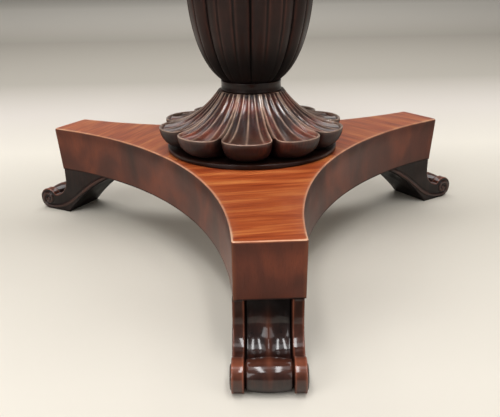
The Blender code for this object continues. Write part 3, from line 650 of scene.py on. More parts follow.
@dataclass
class Platform:
    """Three-armed platform with hollow sides: top, side and end veneers on a pine core."""

    reach: float = 0.232
    width: float = 0.050
    waist: float = 0.087
    bottom: float = 0.0518
    top: float = 0.0978
    cant: float = 0.0055
    veneer: float = 0.0015
    arris: float = 0.0009
    end_round: float = 0.0007
    corner_round: float = 0.0025
    corner: float = 0.0010
    joint: float = 0.0013
    skew: float = 0.10
    steps: int = 72
    corner_steps: int = 9
    mitre_steps: int = 12
    pitch: float = radians(120)

    def hollow(self) -> tuple[np.ndarray, float]:
        """Give the circle of a hollow side.

        It passes through the end corners of two arms and through the waist between them, so its
        middle lies on their bisector at (corner^2 - waist^2) / 2(across - waist).

        Returns:
            The middle of the circle and its radius.
        """
        half = self.pitch / 2
        across = self.reach * cos(half) + self.width / 2 * sin(half)
        corner = self.reach**2 + self.width**2 / 4
        distance = (corner - self.waist**2) / (2 * (across - self.waist))
        return distance * np.array([cos(half), sin(half)]), distance - self.waist

    def flank(self, inset: float, end: float, to_waist: bool, steps: int) -> np.ndarray:
        """Give points along a hollow side, from the arm along +X to the waist or to the next arm.

        Args:
            inset: How far the line is drawn into the platform.
            end: Where on the arm it starts.
            to_waist: Whether it stops at the waist.
            steps: Number of points.

        Returns:
            The x and y of each point.
        """
        middle, radius = self.hollow()
        radius += inset
        start = -np.arccos((end - middle[0]) / radius)
        waist = self.pitch / 2 - pi
        angle = np.linspace(start, waist if to_waist else 2 * waist - start, steps)
        return middle + radius * grid(np.cos(angle), np.sin(angle))

    def half_outline(self, inset: float, end_inset: float) -> np.ndarray:
        """Give one half of an arm's sheet: across the end, round its corner, down the flank, up the mitre.

        Args:
            inset: How far the line is drawn in from the flank.
            end_inset: How far it is drawn in from the end.

        Returns:
            The x and y of each point.
        """
        end = self.reach - end_inset
        corner = self.flank(inset, end, True, 2)[0]
        flank = self.flank(inset, end - self.corner_round, True, self.steps)
        before = corner - (0.0, self.corner_round)
        handles = (before + 2 * corner) / 3, (flank[0] + 2 * corner) / 3
        bend = bezier(before, *handles, flank[0], self.corner_steps)
        edge = before * grid(1.0, np.linspace(0.0, 1.0, self.corner_steps))
        mitre = flank[-1] * np.linspace(1.0, 0.0, self.mitre_steps)[:, None]
        return np.concatenate([edge, bend[1:-1], flank, mitre[1:]])

    def end_reach(self, height: np.ndarray) -> np.ndarray:
        """Reach of an arm's end at a height: the reach less the cant times the share below the top."""
        return self.reach - self.cant * (self.top - height) / (self.top - self.bottom)

    def build_tops(self) -> None:
        """Make the top sheets: rings of the outline, drawn in over an eased arris to the spine.

        Rubbing is given ring by ring, from the underside to the spine, and the upright edge below the arris
        is darkened. Near the arm's end the rubbing of the flanks gives way to that of the end, and it is
        strongest on the end's corners.
        """
        drawn, short = eased(self.arris, 6)
        beyond = np.array([0.0004, 0.0012, 0.006, 0.02])
        inset = np.concatenate([[0.0], drawn, self.arris + beyond])
        end_inset = np.concatenate([[0.0], drawn * self.end_round / self.arris, self.end_round + beyond])
        rub_and_glint = np.concatenate([[0.0, 0.0, 0.2], np.ones(6), [0.4, 0.1, 0.0, 0.0, 0.0]])[:, None]
        end_rub = np.concatenate([np.zeros(3), [0.2, 0.6, 1.0, 1.0, 1.0, 0.7, 0.1], np.zeros(4)])[:, None]
        soil = np.concatenate([np.full(3, 0.9), [0.4], np.zeros(10)])[:, None]
        halves = np.stack([self.half_outline(side, end) for side, end in zip(inset, end_inset)])
        plan = np.concatenate([halves, halves[:, -2:0:-1] * (1.0, -1.0)], axis=1)
        fall = np.concatenate([[self.veneer], short, np.zeros(len(beyond))])[:, None]
        points = grid(plan[..., 0], plan[..., 1], self.top - fall)
        spine = (1.0, 0.0, 1.0)
        points = np.concatenate([points[:1] * spine, points, points[-1:] * spine])
        outer = (np.arange(halves.shape[1]) <= halves.shape[1] - self.mitre_steps).astype(float)
        outer = np.concatenate([outer, outer[-2:0:-1]])
        out, aside = points[..., 0], points[..., 1]
        tip = smooth_step(self.reach - 0.03, self.reach, out)
        corners = tip * smooth_step(0.3 * self.width, 0.5 * self.width, np.abs(aside))
        ends = smooth_step(self.reach - 0.012, self.reach - 0.003, out)
        wear = (rub_and_glint + (end_rub - rub_and_glint) * ends) * outer * (0.6 + 0.4 * tip + 0.5 * corners)
        for arm in Arm:
            leaf = points + grid(self.skew * aside, 0.0, arm.leaf)
            patch = Patch(swung(points, arm.angle), wear, soil, leaf, closed=True)
            set_piece(f"curl_veneer_{arm.label}", [patch], CURL_VENEER, f"top_veneer_{arm.label}")

    def edge_section(self) -> tuple[np.ndarray, np.ndarray, np.ndarray]:
        """Give the upright section of an edge veneer as a loop, eased at the lower arris.

        Returns:
            How far in, and how high, each point lies, and how dark it is: dirt at the joint below, and
            painted shade in a band under the top's arris.
        """
        drawn, short = eased(self.corner, 4)
        upper = self.top - self.veneer
        lines = self.bottom + self.joint * np.array([1.5, 1.2, 0.9])
        face = np.concatenate([np.linspace(upper, self.bottom + 3 * self.joint, 9), lines])
        inset = np.concatenate([np.zeros(len(face)), drawn[1:], [self.veneer, self.veneer]])
        height = np.concatenate([face, self.bottom + short[1:], [self.bottom, upper]])
        soil = smooth_step(self.bottom + 1.4 * self.joint, self.bottom + 0.8 * self.joint, height)
        # Painted shade: darkest just under the top's arris, fading downwards
        under = 0.45 * smooth_step(self.top - 0.016, self.top - 0.003, height)
        return inset, height, np.maximum(soil, under)

    def build_sides(self) -> None:
        """Carry the edge section along each hollow side."""
        inset, height, soil = self.edge_section()
        stops = self.end_reach(height) - self.veneer
        lines = [self.flank(i, stop, False, 2 * self.steps) for i, stop in zip(inset, stops)]
        plan = np.stack(lines, axis=1)
        points = capped(grid(plan[..., 0], plan[..., 1], height))
        along = np.linspace(0.0, 0.4, len(points))[:, None]
        for arm, label in zip(Arm, ("right", "back", "left")):
            leaf = grid(along, arm.leaf, points[..., 2])
            patch = Patch(swung(points, arm.angle), 0.0, soil[None, :], leaf, closed=True)
            set_piece(f"side_band_{label}", [patch], EDGE_VENEER, f"side_veneer_{label}")

    def build_ends(self) -> None:
        """Carry the edge section across each canted end, with both upright corners eased."""
        inset, height, soil = self.edge_section()
        drawn, short = eased(self.corner, 5)
        half = self.width / 2
        middle = np.linspace(half - self.corner, self.corner - half, 24)[1:-1]
        across = np.concatenate([half - drawn, middle, drawn[::-1] - half])
        back = np.concatenate([short, np.zeros(len(middle)), short[::-1]])
        x = self.end_reach(height) - np.maximum(inset, back[:, None])
        points = capped(grid(x, across[:, None], height))
        rub_and_glint = 0.35 * smooth_step(half - 2 * self.corner, half, np.abs(across))
        rub_and_glint = np.concatenate([rub_and_glint[:1], rub_and_glint, rub_and_glint[-1:]])[:, None]
        for arm in Arm:
            leaf = points[..., [1, 0, 2]] + (0.0, 3.0 * arm.leaf, 0.0)
            patch = Patch(swung(points, arm.angle), rub_and_glint, soil[None, :], leaf, closed=True)
            set_piece(f"end_band_{arm.label}", [patch], EDGE_VENEER, f"end_veneer_{arm.label}")

    def build(self) -> None:
        """Lay the veneers, and finish the core and the dowels, which show only from below."""
        self.build_tops()
        self.build_sides()
        self.build_ends()
        dress_node(PINE, "platform_core")
        dress_node(BEECH, *[f"foot_dowel_{arm.label}_{peg}" for arm in Arm for peg in "ab"])


@dataclass
class ScrollFoot:
    """Carved foot: beaded cheeks that roll into volutes, with a fluted panel and a barrel between."""

    face: float = 0.2255
    height: float = 0.0515
    half: float = 0.0247
    length: float = 0.071
    heel: float = 0.225
    volute: tuple[float, float] = (0.2545, 0.012)
    radius: float = 0.012
    tuck: float = radians(148)
    cove_top: float = 0.039
    cheek: float = 0.0082
    recess: float = 0.0020
    flute: float = 0.0014
    relief: float = 0.0022
    bulge: float = 0.0019
    quirk: float = 0.0020
    cheek_hollow: float = 0.0002
    edge: float = 0.0009
    bead: float = 0.0022
    proud: float = 0.0011
    trench: float = 0.0005
    bead_inset: tuple[float, float] = (0.0030, 0.0036)
    toe_inset: float = 0.0032
    eye: float = 0.0028
    turns: float = 1.2
    straight_rows: int = 8
    cove_rows: int = 28
    lap_rows: int = 84
    rear_rows: int = 40
    side_rows: int = 70
    edge_rub_and_glint: float = 0.4
    cheek_rub: tuple[float, float] = (0.08, 0.62)
    barrel_rub: float = 0.22
    ridge_rub: float = 0.3
    pivot: float = 0.21
    skew: tuple[float, float, float] = (radians(-3.4), 0.0, 0.0)

    def across(self) -> tuple[np.ndarray, np.ndarray, np.ndarray, np.ndarray]:
        """Give the foot's cross-section over its width.

        The cheeks are slightly hollow and eased, and a quirk parts each from the panel. The panel
        lies back by the recess, in two flutes that are parabolas between a middle ridge and the
        quirks; the toe's barrel swells by a parabola.

        Returns:
            The places across, the setback of the face, the shrinking of the roll and the easing.
        """
        drawn, short = eased(self.edge, 5)
        wall = self.half - self.cheek
        cheek = np.linspace(self.half - self.edge, wall + 0.0005, 10)[1:]
        turn = wall + np.array([0.0003, 0.0001, 0.0])
        floor = np.concatenate([wall - np.array([0.0002, 0.0005, 0.0008, 0.0011, 0.0014, 0.0018]),
                                np.linspace(wall - 0.0024, 0.0, 22)])
        y = np.concatenate([self.half - drawn, cheek, turn, floor])
        ease = np.concatenate([short, np.zeros(len(cheek)), [0.0, 0.0002, 0.0006], np.zeros(len(floor))])
        panel = np.arange(len(y)) >= len(y) - len(floor)
        groove = self.quirk * hump(y, wall - 0.0008, 0.0006) * panel
        share = np.clip(y / wall, 0.0, 1.0)
        middle = np.clip((y - wall - self.cheek / 2) / (self.cheek / 2), -1.0, 1.0)
        hollow = self.cheek_hollow * (1 - middle**2)
        flutes = self.flute * (1 - (2 * share - 1) ** 2)
        back = np.where(panel, self.recess + groove + flutes, hollow + ease)
        shrink = np.where(panel, self.relief + groove - self.bulge * (1 - share**2), hollow + ease)
        edge = np.where(panel, 0.0, ease)
        whole = np.concatenate([y, -y[-2::-1]])
        return whole, *(np.concatenate([v, v[-2::-1]]) for v in (back, shrink, edge))

    def front(self, back: np.ndarray, shrink: np.ndarray) -> tuple[np.ndarray, np.ndarray]:
        """Give the foot's front: straight, then a quarter-ellipse cove, then round the roll.

        The setback is taken along the cove's normal, so the flutes run down to the roll.

        Args:
            back: Setback of the face for each place across.
            shrink: Shrinking of the roll for each place across.

        Returns:
            How far out and how high each point lies, rows down the front by places across.
        """
        roll = self.radius - shrink
        face = self.face - back
        straight = np.linspace(self.height, self.cove_top, self.straight_rows)[:, None]
        turn = np.linspace(0.0, pi / 2, self.cove_rows + 2)[1:-1, None]
        lap = np.linspace(self.tuck, -pi / 2, self.lap_rows)[:, None]
        run = self.volute[0] + self.radius * cos(self.tuck) - self.face
        fall = self.cove_top - self.volute[1] - self.radius * sin(self.tuck)
        slope = np.hypot(fall * np.cos(turn), run * np.sin(turn))
        x = [face + 0.0 * straight,
             self.face + run * (1 - np.cos(turn)) - back * fall * np.cos(turn) / slope,
             self.volute[0] + roll * np.cos(lap)]
        z = [straight + 0.0 * face,
             self.cove_top - fall * np.sin(turn) - back * run * np.sin(turn) / slope,
             self.volute[1] + roll * np.sin(lap)]
        return np.concatenate(x), np.concatenate(z)

    def rear_line(self, count: int) -> tuple[np.ndarray, np.ndarray]:
        """Give the line of the foot's back: one curve with two handles from the platform to the heel.

        Args:
            count: Number of points.

        Returns:
            The points, and the direction into the foot at each.
        """
        top = np.array([self.face - self.length, self.height])
        heel = np.array([self.heel, 0.0])
        line = bezier(top, top + (0.022, -0.007), heel + (-0.021, 0.024), heel, count)
        run = np.gradient(line, axis=0)
        inward = run[:, ::-1] * (-1.0, 1.0)
        return line, inward / np.linalg.norm(inward, axis=1, keepdims=True)

    def rear(self, ease: np.ndarray) -> tuple[np.ndarray, np.ndarray]:
        """Give the foot's back from heel to platform, drawn in along its normal by the easing.

        Args:
            ease: Easing for each place across.

        Returns:
            How far out and how high each point lies, rows up the back by places across.
        """
        line, inward = (values[::-1] for values in self.rear_line(self.rear_rows))
        x = line[:, :1] + inward[:, :1] * ease
        z = np.maximum(line[:, 1:] + inward[:, 1:] * ease, ease)
        z[-1] = self.height
        return x, z

    def bead_line(self) -> np.ndarray:
        """Give the bead's path: beside the back, along the sole, then a spiral into the volute.

        The spiral's radius shrinks evenly with its angle.

        Returns:
            The points of the path.
        """
        line, inward = (values[14:51] for values in self.rear_line(81))
        back = line + inward * np.linspace(*self.bead_inset, len(line))[:, None]
        outer = self.radius - self.toe_inset
        landing = np.array(self.volute) - (0.0, outer)
        heading = (back[-1] - back[-2]) / np.linalg.norm(back[-1] - back[-2])
        reach = 0.4 * np.linalg.norm(landing - back[-1])
        sweep = bezier(back[-1], back[-1] + heading * reach, landing - (reach, 0.0), landing, 24)
        share = np.linspace(0.0, 1.0, 80)[:, None]
        angle = -pi / 2 + tau * self.turns * share
        radius = outer + (self.eye - outer) * share
        spiral = np.array(self.volute) + radius * np.hstack([np.cos(angle), np.sin(angle)])
        return np.concatenate([back, sweep[1:], spiral[1:]])

    def side_relief(self, x: np.ndarray, z: np.ndarray) -> tuple[np.ndarray, np.ndarray]:
        """Give how far a cheek's side stands proud: a half-round bead with a trench, and an eye.

        The bead is the part of a circle round its path that shows above the side.

        Args:
            x: How far out each point lies.
            z: How high each point lies.

        Returns:
            The relief, and how near the bead's crest each point lies.
        """
        path = self.bead_line()
        between = grid(x.ravel(), z.ravel())[:, None, :] - path
        gap = np.sqrt((between**2).sum(axis=-1)).min(axis=1).reshape(x.shape)
        rod = np.sqrt(np.clip(self.bead**2 - gap**2, 0.0, None)) - (self.bead - self.proud)
        trench = self.trench * hump(gap, 1.25 * self.bead, 0.0007)
        far = np.hypot(x - self.volute[0], z - self.volute[1])
        eye = self.proud * np.sqrt(np.clip(1 - (far / (0.8 * self.eye)) ** 2, 0.0, 1.0))
        relief = np.maximum(np.clip(rod, 0.0, None), eye)
        return relief - trench, relief / self.proud

    def band_patch(self) -> Patch:
        """Work out the band round the foot: down the front, under the toe, up the back.

        Rubbing shows on the round of the toe and on the panel's middle ridge, and on the cheeks' arrises,
        where it also paints their highlights.
        Shade is painted in the quirks, up under the arm, beneath the toe and on the whole of the back, and
        the middle ridge is dulled and darkened.

        Returns:
            The grid, rows round the foot by places across.
        """
        y, back, shrink, ease = self.across()
        front_x, front_z = self.front(back, shrink)
        rear_x, rear_z = self.rear(ease)
        share = np.linspace(0.0, 1.0, 14)[1:-1, None]
        x = np.concatenate([front_x, front_x[-1] + (rear_x[0] - front_x[-1]) * share, rear_x])
        z = np.concatenate([front_z, front_z[-1] + (rear_z[0] - front_z[-1]) * share, rear_z])
        side = np.abs(y)
        wall = self.half - self.cheek
        # Rubbing on the cheeks' outer and inner arrises, pale enough to paint their highlights
        edges = hump(side, self.half - 0.0006, 0.0008) + hump(side, wall + 0.0004, 0.0006)
        turn = np.arctan2(z - self.volute[1], x - self.volute[0])
        rolled = (x > self.face + 0.5 * self.radius) * hump(turn, radians(75), radians(38))
        ahead = (np.arange(len(x)) < len(front_x))[:, None]
        cheek = smooth_step(wall - 0.0002, wall + 0.0006, side)
        ridge = self.ridge_rub * hump(side, 0.0, 0.0022) * hump(z, 0.5 * self.height, 0.012)
        plain, round_toe = self.cheek_rub
        barrel = (1 - cheek) * (self.barrel_rub * rolled + ridge)
        wear = ahead * (self.edge_rub_and_glint * edges + cheek * (plain + round_toe * rolled) + barrel)
        # Painted shade up under the arm, beneath the toe, in the quirks and over the whole back; the middle
        # ridge is dulled and darkened too
        shade_under_arm = smooth_step(0.028, 0.044, z)
        shade_under_toe = smooth_step(radians(-5), radians(-40), turn) * (x > self.face)
        quirk_shade = hump(side, wall - 0.0009, 0.0014)
        soil = quirk_shade + 2.0 * ridge + np.where(ahead, shade_under_arm + shade_under_toe, 1.0)
        return Patch(grid(x, y, z), np.clip(wear, 0.0, 1.0), np.clip(soil, 0.0, 1.0))

    def side_patch(self, band: Patch, column: int) -> Patch:
        """Work out one side: straight lines from the front's edge to the back's edge, plus relief.

        Args:
            band: The band round the foot.
            column: The band's outermost column on this side.

        Returns:
            The grid, whose border lies on the band's border.
        """
        edge = band.points[:, column][:, [0, 2]]
        down = self.straight_rows + self.cove_rows
        line = edge[:down + self.lap_rows]
        rear = edge[-self.rear_rows:][::-1]
        picks = np.linspace(0.0, len(rear) - 1.0, down)
        low = np.floor(picks).astype(int)
        high = np.minimum(low + 1, len(rear) - 1)
        part = (picks - low)[:, None]
        partner = np.concatenate([rear[low] * (1 - part) + rear[high] * part,
                                  np.repeat(rear[-1:], self.lap_rows, axis=0)])
        t = np.linspace(0.0, 1.0, self.side_rows)[:, None, None]
        sheet = line * (1 - t) + partner * t
        x, z = sheet[..., 0], sheet[..., 1]
        relief, crest = self.side_relief(x, z)
        border = np.minimum(t, 1 - t)[..., 0] * np.linalg.norm(partner - line, axis=1)
        relief = relief * smooth_step(0.0, 0.0012, border)
        out = np.sign(band.points[0, column, 1]) * (self.half + relief)
        return Patch(grid(x, out, z), 0.12 * crest, 0.30 + 0.40 * (1 - crest))

    def build(self) -> None:
        """Set a foot under each arm; the front one stands a little askew, as in the photograph."""
        band = self.band_patch()
        top = Patch(np.stack([band.points[0], band.points[-1]]))
        shapes = [band, top, self.side_patch(band, 0), self.side_patch(band, -1)]
        pivot = np.array([self.pivot, 0.0, 0.0])
        for arm, skew in zip(Arm, self.skew):
            places = [swung(swung(s.points - pivot, skew) + pivot, arm.angle) for s in shapes]
            turned = [Patch(place, s.wear, s.soil) for place, s in zip(places, shapes)]
            set_piece(f"scroll_carving_{arm.label}", turned, CARVED, f"scroll_foot_{arm.label}")


@dataclass
class PetalCollar:
    """Plinth disc and carved collar: ten spoon-shaped, fluted petals that flare from a neck."""

    bottom: float = 0.1029
    height: float = 0.0505
    neck: float = 0.0312
    reach: float = 0.0890
    flare: float = 2.5
    turn: float = radians(-96)
    count: int = 10
    rim: float = 0.0195
    tip_length: float = 0.0147
    tip_half: float = 0.0219
    notch: float = 0.058
    bowl: float = 0.020
    valley: float = 0.006
    lip: float = 0.0007
    bead: float = 0.0009
    dish: float = 0.0034
    cleft: float = 0.0045
    crest: float = 0.0004
    waist: float = 0.55
    flank: float = 0.95
    rib_place: tuple[float, float] = (0.50, 0.18)
    rib_height: tuple[float, float] = (0.95, 0.30)
    parting: float = 0.0011
    lip_rub_and_glint: float = 0.9
    rib_rub_and_glint: float = 0.8
    disc_rub: float = 0.15
    bore: float = 0.0183
    across: int = 84
    disc_radius: float = 0.0815
    disc_bottom: float = 0.0981
    disc_height: float = 0.0045
    disc_edge: float = 0.0012
    disc_steps: int = 192

    def trumpet(self, radius: np.ndarray) -> np.ndarray:
        """Height of the flare: the rim plus the rise times ((reach - r) / (reach - neck)) ^ flare."""
        share = np.clip((self.reach - radius) / (self.reach - self.neck), 0.0, 1.0)
        return self.rim + (self.height - self.rim) * share**self.flare

    def outline(self, offset: np.ndarray, rise: np.ndarray | float = 1.0) -> tuple[np.ndarray, np.ndarray]:
        """Give the petal's reach in plan: half an ellipse at the tip, and a notch between petals.

        A ray at angle a meets the ellipse where r^2 k - 2 r m cos a / l^2 + m^2 / l^2 - 1 = 0, with
        k = cos^2 a / l^2 + sin^2 a / w^2, m the ellipse's middle, l its length and w its half width.

        Below the rim the bowl draws in: the ellipse's width shrinks to the waist share and its tip,
        like the notch, falls back by the undercut.

        Args:
            offset: Place across the petal, 0 on its middle and 1 in the notch.
            rise: Share of the bowl's height reached, 1 at the rim.

        Returns:
            The reach at each offset, and the last offset that meets the ellipse.
        """
        length = self.tip_length
        half = self.tip_half * (self.waist + (1 - self.waist) * rise)
        middle = self.reach - length - self.bowl * (1 - rise)
        limit = np.arctan(half / np.sqrt(middle**2 - length**2)) * self.count / pi
        angle = np.minimum(np.abs(offset), limit) * pi / self.count
        k = (np.cos(angle) / length) ** 2 + (np.sin(angle) / half) ** 2
        lean = np.cos(angle) * middle / length**2
        spare = np.clip(lean**2 - k * ((middle / length) ** 2 - 1), 0.0, None)
        tip = (lean + np.sqrt(spare)) / k
        notch = self.notch - self.valley * (1 - rise)
        return tip + (notch - tip) * smooth_step(limit, limit + 0.07, np.abs(offset)), limit

    def carving(self, offset: np.ndarray, along: np.ndarray, radius: np.ndarray,
                edge: np.ndarray, limit: np.ndarray) -> tuple[np.ndarray, np.ndarray, np.ndarray]:
        """Depth of the petal's carving: a dish inside a beaded rim, with flutes between ribs.

        The rim follows the outline at an even width: the distance to it is s t / sqrt(s^2 + t^2),
        with s the distance sideways and t the distance outwards. Ribs stand on the petal's middle
        and half-way out, further out at the tip; each flute between them is a parabola, and a rib's
        crest is rounded to sqrt(u^2 + c^2) - c for a distance u from it.

        Args:
            offset: Place across the petal, 0 on its middle and 1 in the notch.
            along: Place along it, 0 at the neck and 1 at the tip.
            radius: Distance of each point from the axis.
            edge: Reach of the petal at each offset.
            limit: The last offset that meets the tip.

        Returns:
            The depth, how near a crest each point lies, and how deep in a cleft.
        """
        p = np.abs(offset)
        flank = self.flank + (limit - self.flank) * smooth_step(0.0, 0.6, along)
        sideways = radius * (flank - p) * pi / self.count
        outwards = edge - radius + 1e-6
        inside = np.clip(sideways, 0.0, None)
        rim_gap = inside * outwards / np.hypot(inside, outwards)
        bead = self.bead * (0.75 + 0.25 * along)
        open_dish = smooth_step(bead, 2.6 * bead, rim_gap)
        rib = self.rib_place[0] + self.rib_place[1] * along
        q = np.clip(p / flank, 0.0, 1.0)
        span = radius * flank * pi / self.count
        width = np.where(q < rib, rib, 1 - rib) / 2 * span
        away = np.where(q < rib, np.minimum(q, rib - q), np.minimum(q - rib, 1 - q)) * span
        away = np.hypot(away, self.crest) - self.crest
        flute = 1 - (1 - np.clip(away / width, 0.0, 1.0)) ** 2
        proud = self.rib_height[0] - self.rib_height[1] * smooth_step(0.3, 0.95, along)
        depth = self.dish * (0.45 + 0.55 * smooth_step(0.15, 0.85, along)) * smooth_step(0.0, 0.05, along)
        sunk = depth * open_dish * (1 - proud * (1 - flute))
        parted = smooth_step(0.0, self.parting, -sideways)
        cleft = self.cleft * parted * (0.35 + 0.65 * smooth_step(0.0, 0.7, along))
        crest = np.maximum(1 - open_dish, 0.85 * hump(flute, 0.0, 0.22)) * (1 - parted)
        return sunk + cleft, crest, parted

    def collar_patch(self) -> Patch:
        """Work out the collar as sections round the axis: base, bowl, lip, petal face and neck.

        A section's bowl follows the shrinking outline, whose height is a quarter ellipse of the rise;
        its lip is a quarter round, and its face the trumpet less the carving. In the notch the rows keep
        the petal's radii and stop at the outline.

        Returns:
            The closed grid.
        """
        lap = np.linspace(-1.0, 1.0, self.across, endpoint=False)
        offset = np.tile(0.65 * lap + 0.35 * np.sin(lap * pi / 2), self.count)
        petal = np.repeat(np.arange(self.count), self.across)
        angle = self.turn + tau * (petal + offset / 2) / self.count
        p = np.abs(offset)
        edge, limit = self.outline(offset)
        along = np.concatenate([np.linspace(1.0, 0.84, 22), np.linspace(0.84, 0.0, 44)[1:]])[:, None]
        tip = edge - self.lip
        shoulder = self.outline(limit)[0] - self.lip - self.neck
        run = np.where(p > limit, np.minimum(shoulder * along, tip - self.neck), (tip - self.neck) * along)
        along = np.where(p > limit, run / shoulder, along)
        radius = self.neck + run
        depth, crest, parted = self.carving(offset, along, radius, tip, limit)
        face = self.trumpet(radius) - depth
        rise = np.linspace(0.0, pi / 2, 30)[:, None]
        bowl_r = self.outline(offset, np.sin(rise))[0]
        bowl_z = (face[0] - self.lip) * (1 - np.cos(rise))
        bend = np.linspace(0.0, pi / 2, 7)[1:-1, None]
        lip_r = tip + self.lip * np.cos(bend)
        lip_z = face[0] - self.lip + self.lip * np.sin(bend)
        ring = np.full((1, len(angle)), self.bore)
        r = np.concatenate([ring, bowl_r, lip_r, radius, ring, ring])
        z = np.concatenate([0.0 * ring, bowl_z, lip_z, face, 0.0 * ring + self.height, 0.0 * ring])
        whole = (p < limit).astype(float)
        low = 0.10 * smooth_step(0.35, 0.75, along) * (1 - parted)
        under = 0.15 * smooth_step(0.8, 1.0, bowl_z / face[0]) * whole
        # Rubbing on the lips and on the ribs' crests, pale enough to paint the highlights along them
        lip_rub_and_glint = 0.0 * lip_r + self.lip_rub_and_glint * whole
        face_rub_and_glint = np.maximum(self.rib_rub_and_glint * crest, low)
        rub_and_glint = np.concatenate([0.0 * ring, under, lip_rub_and_glint, face_rub_and_glint, 0.0 * ring, 0.0 * ring])
        # Painted shade: the bowls are darkened all over, most at the bottom and towards the notches
        bowl_shade = np.maximum(smooth_step(0.7, limit, p), 0.65 + 0.35 * smooth_step(0.017, 0.006, bowl_z))
        # Painted shade in the flutes of the upper face
        flute_shade = 0.5 * (1 - crest) * smooth_step(0.75, 0.35, along)
        # Painted shade in the clefts between petals, and just under the neck ring, where some dirt lies too
        face_shade_and_dirt = np.maximum(np.maximum(parted, smooth_step(0.05, 0.02, along)), flute_shade)
        soil = np.concatenate([0.0 * ring, bowl_shade, 0.0 * lip_r, face_shade_and_dirt, 0.0 * ring, 0.0 * ring])
        points = grid(r * np.cos(angle), r * np.sin(angle), self.bottom + z)
        return Patch(points, rub_and_glint, soil, closed=True)

    def disc_profile(self) -> tuple[np.ndarray, np.ndarray]:
        """Give the disc's section, eased by a quarter round at both arrises.

        Returns:
            Rows of radius and height, and how worn each point is.
        """
        top = self.disc_bottom + self.disc_height
        flat = grid(np.linspace(self.bore, self.disc_radius - self.disc_edge, 12)[:-1], top)
        upper = arris(self.disc_radius, top, self.disc_edge, 6)
        lower = upper[::-1] * (1.0, -1.0) + (0.0, self.disc_bottom + top)
        base = np.array([[self.bore, self.disc_bottom], [self.bore, top]])
        wear = [np.zeros(len(flat)), np.full(len(upper), self.disc_rub), np.zeros(len(lower) + len(base))]
        return np.concatenate([flat, upper, lower, base]), np.concatenate(wear)

    def build(self) -> None:
        """Set the disc on the platform and the collar on the disc."""
        profile, wear = self.disc_profile()
        set_piece("plinth_turning", [lathe(profile, self.disc_steps, wear)], TURNED, "plinth_disc")
        set_piece("petal_carving", [self.collar_patch()], PETALS, "petal_collar")


